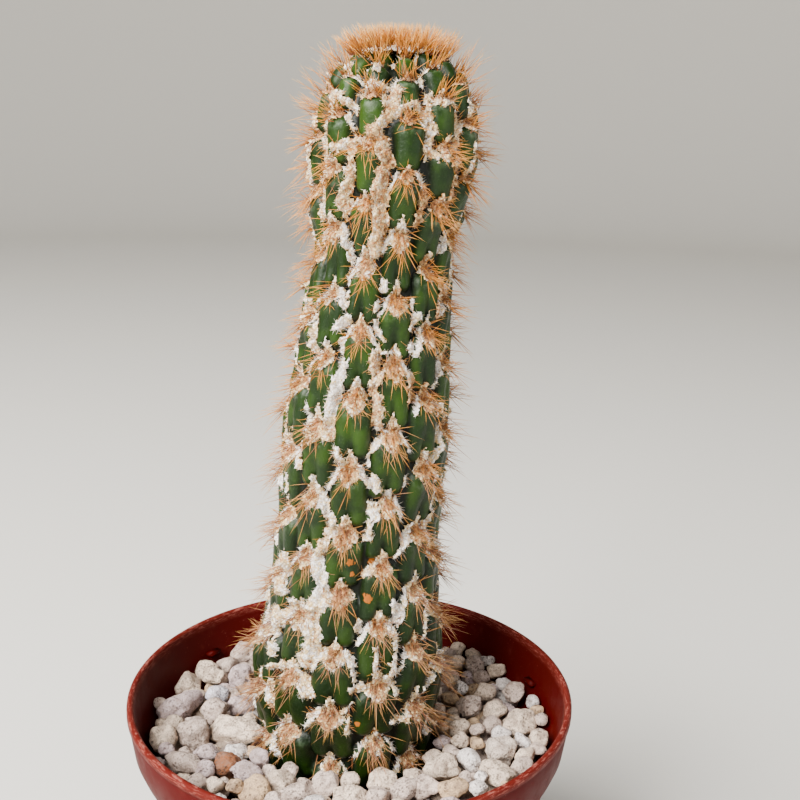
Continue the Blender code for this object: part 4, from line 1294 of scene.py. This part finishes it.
def crown_wool(form, surface):
    """The cap of pale wool on the growing tip."""
    draw = np.random.default_rng(41)
    levels = form.rows(form.top - CROWN_DEPTH, form.top - TIP_ROOM, CROWN_STEP)
    ribs = np.arange(CROWN_COLUMNS) * RIBS / CROWN_COLUMNS
    shape = (len(levels), CROWN_COLUMNS)
    edge = np.clip((form.radius(levels) - CROWN_RADIUS) / CROWN_EDGE, -1, 1)[:, None]
    ragged = np.clip(edge + CROWN_RAGGEDNESS * speckle(shape, draw, 6), 0, 1)
    rough = CROWN_ROUGHNESS[0] * speckle(shape, draw, 1) + CROWN_ROUGHNESS[1] * speckle(shape, draw, 4)
    lift = np.minimum(CROWN_THICKNESS - CROWN_FALL * ragged + rough, 2 * CROWN_THICKNESS)
    places = form.place(ribs[None], levels[:, None], lift * MM).reshape(-1, 3)
    faces = ring_faces(*shape)
    faces = faces[(lift.ravel()[faces] > CROWN_HEM).any(axis=1)]
    places, faces, _ = kept_net(places, faces, {})
    last = len(places) - CROWN_COLUMNS
    faces += fan_faces(last, CROWN_COLUMNS, len(places), False).tolist()
    places = np.concatenate([places, [places[last:].mean(axis=0)]])
    return mesh_piece("crown_wool", places, faces, surface, {"tone": np.full(len(places), CROWN_TONE)})


def read_field(items, name, width=None, kind=float):
    """One field of all the faces, corners or points of a mesh."""
    values = np.zeros(len(items) * (width or 1), kind)
    items.foreach_get(name, values)
    return values.reshape(-1, width) if width else values


def stand_on(pieces, counts, draw):
    """[places, normals, tones] of points spread evenly over some pieces."""
    stands = []
    for piece, count in zip(pieces, counts):
        mesh = piece.data
        areas = read_field(mesh.polygons, "area")
        centres = read_field(mesh.polygons, "center", 3)
        normals = read_field(mesh.polygons, "normal", 3)
        starts = read_field(mesh.polygons, "loop_start", kind=int)
        corners = read_field(mesh.loops, "vertex_index", kind=int)
        tones = read_field(mesh.attributes["tone"].data, "value")
        picked = draw.choice(len(areas), count, p=areas / areas.sum())
        places = centres[picked] + draw.normal(0, STAND_SCATTER, (count, 3))
        stands.append((places, normals[picked], tones[corners[starts[picked]]]))
    return [np.concatenate(parts) for parts in zip(*stands)]


def wool_hairs(pieces, surface):
    """Short single hairs that stand out of the wool."""
    draw = np.random.default_rng(61)
    shares = np.array([len(piece.data.polygons) for piece in pieces], float)
    counts = np.round(HAIR_COUNT * shares / shares.sum()).astype(int)
    roots, normals, tones = stand_on(pieces, counts, draw)
    count = len(roots)
    ways = unit(normals + draw.normal(0, HAIR_SPREAD, (count, 3)) + [0, 0, -HAIR_SAG])
    lengths = draw.uniform(*HAIR_LENGTHS, count)
    points, faces, along = needles(roots, ways, 0 * ways, lengths, np.full(count, HAIR_THICKNESS), HAIR_RINGS)
    tones = np.repeat(tones + draw.uniform(-HAIR_TONE_SPREAD, HAIR_TONE_SPREAD, count), len(along) // count)
    return mesh_piece("wool_hairs", points, faces, surface, {"tone": tones})


# Spines


def needles(roots, ways, bends, lengths, thickness, rings=NEEDLE_RINGS):
    """(points, faces, share of the length at each point) of tapered, slightly bent needles."""
    sides = unit(np.cross(ways, ACROSS))
    others = np.cross(ways, sides)
    count = len(roots)
    per = len(rings) * NEEDLE_SIDES + 1
    points = np.zeros((count, per, 3))
    along = np.ones((count, per))
    faces = []
    for ring, share in enumerate(rings):
        middle = roots + (ways * share + bends * share**2) * lengths[:, None]
        half = thickness[:, None] / 2 * (1 - NEEDLE_TAPER * share)
        for side in range(NEEDLE_SIDES):
            angle = 2 * math.pi * side / NEEDLE_SIDES
            at = ring * NEEDLE_SIDES + side
            after = ring * NEEDLE_SIDES + (side + 1) % NEEDLE_SIDES
            points[:, at] = middle + (sides * math.cos(angle) + others * math.sin(angle)) * half
            along[:, at] = share
            if ring < len(rings) - 1:
                faces += [(at, after, after + NEEDLE_SIDES), (at, after + NEEDLE_SIDES, at + NEEDLE_SIDES)]
            else:
                faces.append((at, after, per - 1))
    points[:, -1] = roots + (ways + bends) * lengths[:, None]
    faces = (np.arange(count)[:, None, None] * per + np.array(faces)[None]).reshape(-1, 3)
    return points.reshape(-1, 3), faces.tolist(), along.ravel()


def spine_piece(name, roots, ways, bends, lengths, widths, age, tone, surface):
    """Needles as one piece, with the age and tone of each for its colour."""
    points, faces, along = needles(roots, ways, bends, lengths, widths)
    per = len(points) // len(roots)
    values = {"along": along, "age": np.repeat(age, per), "tone": np.repeat(tone, per)}
    return mesh_piece(name, points, faces, surface, values)


def unit(vectors):
    """Vectors brought to length one."""
    return vectors / np.linalg.norm(vectors, axis=1, keepdims=True)


def under_brush_top(roots, ways, lengths):
    """Lengths cut so that no tip stands above the top of the crown's brush."""
    room = (BRUSH_TOP - roots[:, 2]) / np.maximum(ways[:, 2], LEAST_RISE) / BEND_ROOM
    return np.minimum(lengths, room)


def areole_spines(form, spine, surface):
    """The spines of every areole, the longest pointing out and down."""
    draw = np.random.default_rng(31)
    areoles = np.repeat(form.areoles(SPINY_FOOT, form.top - SPINY_TIP_ROOM), spine.count, axis=0)
    # The areoles crowd together towards the tip, and the spines of each are fewer there
    crowded = CROWDED_SHARE * np.clip(areoles[:, 1] - CROWDED_LEVEL, 0, 1)
    areoles = areoles[draw.uniform(0, 1, len(areoles)) > crowded]
    total = len(areoles)
    rib, level = areoles.T
    root_rib = rib + draw.normal(0, ROOT_SCATTER[0], total)
    root_level = level + draw.normal(-ROOT_DROP, ROOT_SCATTER[1], total)
    roots = form.skin(root_rib, root_level, ROOT_LIFT)
    outward = form.normal(rib, level)
    right = unit(np.cross([0, 0, 1], outward))
    up = np.cross(outward, right)
    turn = np.radians(-90 + draw.normal(0, SPINE_FAN, total))
    lean = draw.uniform(*SPINE_LEANS, total)
    ways = outward + (right * np.cos(turn)[:, None] + up * np.sin(turn)[:, None]) * lean[:, None]
    upright = UPRIGHT * np.clip((level - UPRIGHT_LEVEL) / UPRIGHT_BLEND, 0, 1)
    ways = unit(ways + upright[:, None] * [0, 0, 1])
    bends = np.array([0, 0, -SPINE_SAG]) + draw.normal(0, SPINE_BEND, (total, 3))
    downward = 0.5 - 0.5 * np.sin(turn)
    shares = SHORTEST_SPINE + (1 - SHORTEST_SPINE) * downward
    lengths = spine.length * shares * draw.uniform(*SPINE_LENGTHS, total)
    lengths = under_brush_top(roots, ways, lengths)
    widths = spine.thickness * draw.uniform(*SPINE_WIDTHS, total)
    age = np.clip(1 - level / AGED_LEVELS, 0, 1) + draw.normal(0, AGE_SPREAD, total)
    tone = draw.uniform(0, 1, total)
    return spine_piece("areole_spines", roots, ways, bends, lengths, widths, age, tone, surface)


def young_spines(pieces, spine, surface):
    """Short fine spines that grow out of the thicker wool."""
    draw = np.random.default_rng(62)
    roots, normals, tones = stand_on(pieces, (YOUNG_SPINES, YOUNG_SPINES // 2), draw)
    in_head = roots[:, 2] > POT_HEIGHT + HEAD_HEIGHT
    below = YOUNG_IN_WHITE + YOUNG_IN_TAN * np.clip(tones, 0, 1)
    kept = draw.uniform(0, 1, len(roots)) < np.where(in_head, YOUNG_IN_HEAD, below)
    roots, normals, in_head = roots[kept], normals[kept], in_head[kept]
    count = len(roots)
    ways = unit(normals + draw.normal(0, YOUNG_SPREAD, (count, 3)) + [0, 0, -YOUNG_SAG])
    lengths = under_brush_top(roots, ways, draw.uniform(*YOUNG_SPINE_LENGTHS, count))
    bends = draw.normal(0, YOUNG_BEND, (count, 3))
    widths = spine.thickness * draw.uniform(*YOUNG_SPINE_WIDTHS, count)
    age = np.where(in_head, 0, YOUNG_AGE) + draw.normal(0, AGE_SPREAD, count)
    tone = draw.uniform(0, 1, count)
    return spine_piece("young_spines", roots, ways, bends, lengths, widths, age, tone, surface)


def crown_brush(form, spine, surface):
    """The dense brush of golden spines round and over the growing tip."""
    draw = np.random.default_rng(42)
    count = spine.bristles
    share = draw.uniform(*BRUSH_SHARES, count) ** BRUSH_CROWDING
    level = np.interp(share * BRUSH_RADIUS, form.radii[::-1][:TIP_POINTS], form.levels[::-1][:TIP_POINTS])
    rib = draw.uniform(0, RIBS, count)
    roots = form.place(rib, level, ROOT_LIFT * MM)
    angle = form.angle(rib, level)
    around = np.stack([np.sin(angle), -np.cos(angle), np.zeros(count)], axis=-1)
    fan = BRUSH_FAN[0] + (BRUSH_FAN[1] - BRUSH_FAN[0]) * share**2
    ways = unit(around * fan[:, None] + [0, 0, 1] + draw.normal(0, BRUSH_SPREAD, (count, 3)))
    lengths = under_brush_top(roots, ways, draw.uniform(*BRUSH_LENGTHS, count))
    bends = draw.normal(0, BRUSH_BEND, (count, 3)) * [1, 1, 0]
    widths = spine.thickness * draw.uniform(*BRUSH_WIDTHS, count)
    age = draw.uniform(*BRUSH_AGES, count)
    tone = draw.uniform(0, 1, count) ** 2
    return spine_piece("crown_brush", roots, ways, bends, lengths, widths, age, tone, surface)


# Pot and filling


def pot_profile():
    """The pot's section from its underside, over the lip, to its floor, as (radius, height)."""
    outer = POT_OUTER[-1][0]
    lip = []
    for k in range(LIP_SIDES + 1):
        angle = math.pi * k / LIP_SIDES
        radius = outer - LIP_INSET + LIP_RADIUS * math.cos(angle)
        lip.append((radius, POT_HEIGHT - LIP_RADIUS + LIP_RADIUS * math.sin(angle)))
    bead = [(outer + out, POT_HEIGHT - below) for out, below in LIP_BEAD]
    inner = [(radius - POT_WALL, height) for radius, height in reversed(POT_OUTER[2:-1])]
    floor = [(INNER_BASE_RADIUS, FLOOR_TOP + BASE_ROUNDING), (BASE_RADIUS, FLOOR_TOP)]
    return [(BASE_RADIUS, 0.0), *POT_OUTER[:-1], *bead, *lip, *inner, *floor]


def pot_shell(surface):
    """The moulded pot with its rounded lip, collar and tapered body."""
    profile = pot_profile()
    places = np.concatenate([turned_rings(profile, POT_SIDES), [(0, 0, 0), (0, 0, FLOOR_TOP)]])
    return mesh_piece("pot_shell", places, closed_faces(len(profile), POT_SIDES), surface)


def cut_drain_holes(pot):
    """Cuts the drain holes through the pot's floor."""
    bm = bmesh.new()
    for k in range(DRAIN_HOLES):
        angle = 2 * math.pi * (k + 0.5) / DRAIN_HOLES
        place = (DRAIN_CIRCLE * math.cos(angle), DRAIN_CIRCLE * math.sin(angle), FLOOR_TOP / 2)
        bmesh.ops.create_cone(
            bm, cap_ends=True, segments=DRAIN_SIDES, radius1=DRAIN_RADIUS, radius2=DRAIN_RADIUS,
            depth=3 * FLOOR_TOP, matrix=Matrix.Translation(place),
        )
    mesh = bpy.data.meshes.new("drain_cutters")
    bm.to_mesh(mesh)
    bm.free()
    cutters = bpy.data.objects.new("drain_cutters", mesh)
    bpy.context.scene.collection.objects.link(cutters)
    difference = pot.modifiers.new("drain_holes", "BOOLEAN")
    difference.operation = "DIFFERENCE"
    difference.object = cutters
    graph = bpy.context.evaluated_depsgraph_get()
    pot.data = bpy.data.meshes.new_from_object(pot.evaluated_get(graph))
    pot.modifiers.clear()
    bpy.data.objects.remove(cutters, do_unlink=True)


def stacking_nubs(surface):
    """Three small moulded steps inside the rim, on which a stacked pot rests."""
    bm = bmesh.new()
    for turn in NUB_TURNS:
        steps = bmesh.ops.create_cube(bm, size=1.0)["verts"]
        for vert in steps:
            narrow = NUB_TAPER if vert.co.z < 0 else 1.0
            vert.co = [side * size for side, size in zip(vert.co, NUB_SIZE)]
            vert.co.xy *= narrow
        out = Matrix.Translation((NUB_PLACE[0], 0, NUB_PLACE[1]))
        spin = Matrix.Rotation(math.radians(turn), 4, "Z")
        bmesh.ops.transform(bm, matrix=spin @ out, verts=steps)
    bmesh.ops.bevel(bm, geom=bm.edges[:], offset=NUB_ROUNDING, segments=2, affect="EDGES")
    places = [tuple(vert.co) for vert in bm.verts]
    faces = [tuple(vert.index for vert in face.verts) for face in bm.faces]
    bm.free()
    return mesh_piece("stacking_nubs", places, faces, surface)


def unit_ball(subdivisions):
    """(points, faces) of a ball of radius one."""
    bm = bmesh.new()
    bmesh.ops.create_icosphere(bm, subdivisions=subdivisions, radius=1.0)
    points = np.array([vert.co for vert in bm.verts])
    faces = np.array([[vert.index for vert in face.verts] for face in bm.faces])
    bm.free()
    return points, faces


def worn_lump(ball, draw):
    """A ball broken to blunt faces, worn round and pitted."""
    normals = unit(draw.normal(size=(LUMP_FACES, 3)))
    reach = draw.uniform(*LUMP_REACHES, LUMP_FACES)
    facing = np.clip(ball @ normals.T, 0, None) / reach
    # The higher the power, the sharper the edges between the faces
    cut = (facing**LUMP_POWER).sum(axis=1)
    radius = np.maximum(cut, LUMP_LIMIT**-LUMP_POWER) ** (-1 / LUMP_POWER)
    rates = np.geomspace(*WAVE_RATES, LUMP_WAVES)[:, None]
    for wave in unit(draw.normal(size=(LUMP_WAVES, 3))) * rates:
        swing = np.sin(ball @ wave + draw.uniform(*WAVE_STARTS))
        radius = radius + WAVE_HEIGHT / np.linalg.norm(wave) ** WAVE_FALL * swing
    for pit in unit(draw.normal(size=(LUMP_PITS, 3))):
        width = draw.uniform(*PIT_WIDTHS)
        away = np.arccos(np.clip(ball @ pit, -1, 1)) / width
        radius = radius - PIT_DEPTH * width * np.exp(-away**2)
    return ball * radius[:, None]


def seen_stones():
    """The stones in sight, as (x, y, z, half length, half width, turn, tint) in mm."""
    eye = np.array(CAMERA_PLACE) * 1000
    plane = STONE_PLANE * 1000
    stones = []
    for x, y, half_length, half_width, turn, tint in PUMICE_STONES:
        half_length, half_width = STONE_GROWTH * half_length, STONE_GROWTH * half_width
        top = STONE_TOP + STONE_RISE * (half_width - USUAL_STONE)
        z = LIP_MM + top - STONE_SQUASH * half_width
        sight = np.array([x, y, plane]) - eye
        place = eye + sight * (z - eye[2]) / sight[2]
        stones.append((place[0], place[1], z, half_length, half_width, math.radians(turn), tint))
    return [inside_pot(stone) for stone in stones]


def inside_pot(stone):
    """A stone moved in from the pot's wall and out from the stem, where it would cut into them."""
    x, y, z, half_length, half_width, turn, tint = stone
    wall = 1000 * by_table([(height, radius) for radius, height in POT_OUTER], z / 1000) - 1000 * POT_WALL
    stem_x = 1000 * by_table(STEM_LEAN, z / 1000 - POT_HEIGHT)
    away = math.hypot(x - stem_x, y)
    push = max(1, (STEM_AT_STONES + STEM_TOUCH * half_width) / away)
    x, y = stem_x + (x - stem_x) * push, y * push
    pull = min(1, (wall - WALL_TOUCH * half_width) / math.hypot(x, y))
    return x * pull, y * pull, z, half_length, half_width, turn, tint


def in_ring(draw, inner, outer):
    """(distance from the middle, x, y) drawn evenly over a ring."""
    distance = math.sqrt(draw.uniform(inner**2, outer**2))
    angle = draw.uniform(0, 2 * math.pi)
    return distance, distance * math.cos(angle), distance * math.sin(angle)


def fill_stones(stones, draw):
    """Smaller and unseen stones by rule in the room that is left."""
    placed = [(x, y, (long + wide) / 2) for x, y, _, long, wide, _, _ in stones]
    added = []
    for size, tries in zip(FILL_SIZES, FILL_TRIES):
        for _ in range(tries):
            radius = size * draw.uniform(*FILL_SPREAD)
            distance, x, y = in_ring(draw, *FILL_RING)
            stem_edge = STEM_AT_STONES + radius * STEM_ROOM
            if distance + radius > FILL_LIMIT or math.hypot(x + STEM_LEFT, y) < stem_edge:
                continue
            if all(math.hypot(x - a, y - b) > FILL_SPACING * (radius + r) for a, b, r in placed):
                placed.append((x, y, radius))
                usual_top = STONE_TOP - FILL_DROP + FILL_RISE * (radius - USUAL_STONE)
                top = usual_top + draw.uniform(*FILL_UNEVENNESS)
                z = LIP_MM + top - STONE_SQUASH * radius
                wide = radius * draw.uniform(*FILL_WIDTHS)
                tint = SEEDED_TINTS[draw.integers(len(SEEDED_TINTS))]
                long = radius * draw.uniform(*FILL_LENGTHS)
                added.append((x, y, z, long, wide, draw.uniform(*TURNS), tint))
    return added


def lower_stones(draw):
    """The layer of stones under the top one, which shows between them."""
    stones = []
    for _ in range(LOWER_STONES):
        radius = draw.uniform(*LOWER_SIZES)
        _, x, y = in_ring(draw, STEM_AT_STONES + radius, LOWER_LIMIT - radius)
        z = LIP_MM + LOWER_DEPTH + draw.uniform(-LOWER_UNEVENNESS, LOWER_UNEVENNESS)
        tint = SEEDED_TINTS[draw.integers(len(SEEDED_TINTS))]
        stones.append((x, y, z, radius * LOWER_LONGER, radius, draw.uniform(*TURNS), tint))
    return stones


def stones_piece(name, stones, subdivisions, draw, surface, shaded=1.0):
    """Stones as one piece, each worn in its own way, with its own tint and flat where it meets the pot."""
    ball, ball_faces = unit_ball(subdivisions)
    wall = [(height, radius - POT_WALL - WALL_GAP) for radius, height in POT_OUTER]
    places, faces, tints = [], [], []
    for x, y, z, half_length, half_width, turn, tint in stones:
        lump = worn_lump(ball, draw) * (half_length, half_width, STONE_SQUASH * half_width)
        roll, pitch = (draw.uniform(-tilt, tilt) for tilt in TILTS)
        tilt = Matrix.Rotation(roll, 3, "X") @ Matrix.Rotation(pitch, 3, "Y")
        lump = lump @ np.array(tilt.transposed()) @ np.array(Matrix.Rotation(turn, 3, "Z").transposed())
        lump = (lump + (x, y, z)) * MM
        room = by_table(wall, lump[:, 2]) / np.hypot(lump[:, 0], lump[:, 1])
        lump[:, :2] *= np.minimum(room, 1)[:, None]
        faces.append(ball_faces + len(ball) * len(places))
        places.append(lump)
        # For the lower stones, shaded darkens the tint: partly painted shade, partly damp
        shade = np.array(hex_colour(STONE_TINTS[tint])) * shaded * draw.uniform(*TINT_SPREAD)
        tints.append(np.broadcast_to(np.append(shade[:3], 1), (len(ball), 4)))
    faces = np.concatenate(faces).tolist()
    return mesh_piece(name, np.concatenate(places), faces, surface, colours={"tint": np.concatenate(tints)})


# Stage


def backdrop_sweep(surface):
    """A round floor that turns up all round into a backdrop in one curve."""
    profile = [(BACKDROP_RADIUS - BACKDROP_BEND, 0.0)]
    for k in range(1, BEND_STEPS + 1):
        angle = math.pi / 2 * k / BEND_STEPS
        radius = BACKDROP_RADIUS - BACKDROP_BEND * (1 - math.sin(angle))
        profile.append((radius, BACKDROP_BEND * (1 - math.cos(angle))))
    profile.append((BACKDROP_RADIUS, BACKDROP_HEIGHT))
    places = np.concatenate([turned_rings(profile, BACKDROP_SIDES), [(0, 0, 0)]])
    faces = ring_faces(len(profile), BACKDROP_SIDES)[:, ::-1].tolist()
    faces += fan_faces(0, BACKDROP_SIDES, len(places) - 1, False).tolist()
    return mesh_piece("backdrop_sweep", places, faces, surface)


def add_camera():
    """A camera at the height, tilt and distance from which the front is seen."""
    forward = Vector((
        math.sin(CAMERA_YAW) * math.cos(CAMERA_PITCH),
        math.cos(CAMERA_YAW) * math.cos(CAMERA_PITCH),
        -math.sin(CAMERA_PITCH),
    ))
    right = Vector((math.cos(CAMERA_YAW), -math.sin(CAMERA_YAW), 0))
    level = Matrix((right, right.cross(forward), -forward)).transposed()
    data = bpy.data.cameras.new("front_camera")
    data.lens = CAMERA_LENS
    data.sensor_width = SENSOR_WIDTH
    camera = bpy.data.objects.new("front_camera", data)
    camera.matrix_world = (
        Matrix.Translation(CAMERA_PLACE) @ level.to_4x4() @ Matrix.Rotation(CAMERA_ROLL, 4, "Z")
    )
    bpy.context.scene.collection.objects.link(camera)
    bpy.context.scene.camera = camera


def add_lamp(name, lamp_form, power):
    """A large soft lamp, pointed at the plant."""
    place, size, colour = lamp_form
    data = bpy.data.lights.new(name, "AREA")
    data.size = size
    data.energy = power
    data.color = colour
    lamp = bpy.data.objects.new(name, data)
    lamp.location = place
    lamp.rotation_euler = (Vector(LAMP_TARGET) - Vector(place)).to_track_quat("-Z", "Y").to_euler()
    bpy.context.scene.collection.objects.link(lamp)


# Operators


class CACTUS_OT_pot(Operator):
    """Makes the moulded pot"""

    bl_idname = "cactus.pot"
    bl_label = "Pot"

    def execute(self, context):
        surface = moulded_polypropylene(context.scene.cactus_pot)
        shell = pot_shell(surface)
        cut_drain_holes(shell)
        settle(shell, "pot")
        settle(stacking_nubs(surface), "pot")
        return {"FINISHED"}


class CACTUS_OT_potting_mix(Operator):
    """Gives the potting mix its surface"""

    bl_idname = "cactus.potting_mix"
    bl_label = "Potting mix"

    def execute(self, context):
        surface = damp_potting_mix(context.scene.cactus_pot)
        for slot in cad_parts["potting_mix"].material_slots:
            slot.material = surface
        return {"FINISHED"}


class CACTUS_OT_pumice(Operator):
    """Lays the pumice stones round the stem"""

    bl_idname = "cactus.pumice"
    bl_label = "Pumice"

    def execute(self, context):
        draw = np.random.default_rng(51)
        surface = tumbled_pumice(context.scene.cactus_pot)
        stones = seen_stones()
        stones += fill_stones(stones, draw)
        large = [stone for stone in stones if stone[4] >= FINE_STONE]
        small = [stone for stone in stones if stone[4] < FINE_STONE]
        settle(stones_piece("pumice_large", large, 4, draw, surface), "pumice")
        settle(stones_piece("pumice_small", small, 3, draw, surface), "pumice")
        lower = stones_piece("pumice_lower", lower_stones(draw), 3, draw, surface, LOWER_SHADE)
        settle(lower, "pumice")
        return {"FINISHED"}


class CACTUS_OT_stem(Operator):
    """Makes the green stem with its lobed ribs"""

    bl_idname = "cactus.stem"
    bl_label = "Stem"

    def execute(self, context):
        surface = waxy_cactus_skin(context.scene.cactus_skin)
        settle(stem_skin(StemForm(), surface), "cactus_stem")
        return {"FINISHED"}


class CACTUS_OT_wool(Operator):
    """Makes the wool of the areoles, the furrows and the crown"""

    bl_idname = "cactus.wool"
    bl_label = "Wool"

    def execute(self, context):
        form = StemForm()
        surface = areole_wool_felt(context.scene.cactus_wool)
        beds = [furrow_wool(form, surface), areole_wool(form, surface)]
        for piece in (*beds, wool_hairs(beds, surface)):
            settle(piece, "cactus_stem")
        settle(crown_wool(form, surface), "crown_tuft")
        return {"FINISHED"}


class CACTUS_OT_spines(Operator):
    """Makes the spines of the areoles and the crown's brush"""

    bl_idname = "cactus.spines"
    bl_label = "Spines"

    def execute(self, context):
        form = StemForm()
        spine = context.scene.cactus_spines
        surface = golden_spine_horn(spine)
        settle(areole_spines(form, spine, surface), "cactus_stem")
        beds = [bpy.data.objects["furrow_wool"], bpy.data.objects["areole_wool"]]
        settle(young_spines(beds, spine, surface), "cactus_stem")
        settle(crown_brush(form, spine, surface), "crown_tuft")
        return {"FINISHED"}


class CACTUS_OT_stage(Operator):
    """Sets the floor, the soft lights and the camera"""

    bl_idname = "cactus.stage"
    bl_label = "Stage"

    def execute(self, context):
        stage = context.scene.cactus_stage
        backdrop_sweep(painted_floor(stage))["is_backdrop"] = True
        add_lamp("main_light", MAIN_LAMP, stage.key)
        add_lamp("fill_light", FILL_LAMP, stage.fill)
        world = bpy.data.worlds.new("Studio surroundings")
        world.use_nodes = True
        background = world.node_tree.nodes["Background"]
        background.inputs["Color"].default_value = hex_colour(SKY_COLOUR)
        background.inputs["Strength"].default_value = stage.sky
        context.scene.world = world
        add_camera()
        return {"FINISHED"}


PIECE_OPERATORS = (
    CACTUS_OT_pot,
    CACTUS_OT_potting_mix,
    CACTUS_OT_pumice,
    CACTUS_OT_stem,
    CACTUS_OT_wool,
    CACTUS_OT_spines,
    CACTUS_OT_stage,
)
SETTING_GROUPS = {
    "cactus_pot": PotSettings,
    "cactus_skin": SkinSettings,
    "cactus_wool": WoolSettings,
    "cactus_spines": SpineSettings,
    "cactus_stage": StageSettings,
}


class CACTUS_PT_sidebar(Panel):
    """Lists the pieces of the potted cactus and their settings"""

    bl_idname = "CACTUS_PT_sidebar"
    bl_label = "Potted Golden Torch"
    bl_space_type = "VIEW_3D"
    bl_region_type = "UI"
    bl_category = "Cactus"

    def draw(self, context):
        for group in SETTING_GROUPS:
            settings = getattr(context.scene, group)
            box = self.layout.box()
            for name in settings.__annotations__:
                box.prop(settings, name)
        for operator in PIECE_OPERATORS:
            self.layout.operator(operator.bl_idname)


CLASSES = (*SETTING_GROUPS.values(), *PIECE_OPERATORS, CACTUS_PT_sidebar)


def register():
    for cls in CLASSES:
        bpy.utils.register_class(cls)
    for name, group in SETTING_GROUPS.items():
        setattr(bpy.types.Scene, name, PointerProperty(type=group))


def unregister():
    for name in SETTING_GROUPS:
        delattr(bpy.types.Scene, name)
    for cls in reversed(CLASSES):
        bpy.utils.unregister_class(cls)


def corners():
    """The model's box as plain lists of numbers."""
    return [list(corner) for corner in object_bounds()]


def main():
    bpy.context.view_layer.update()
    register()
    bpy.ops.cactus.pot()
    bpy.ops.cactus.potting_mix()
    bpy.ops.cactus.pumice()
    bpy.ops.cactus.stem()
    bpy.ops.cactus.wool()
    bpy.ops.cactus.spines()
    bpy.ops.cactus.stage()


if __name__ == "__main__":
    main()
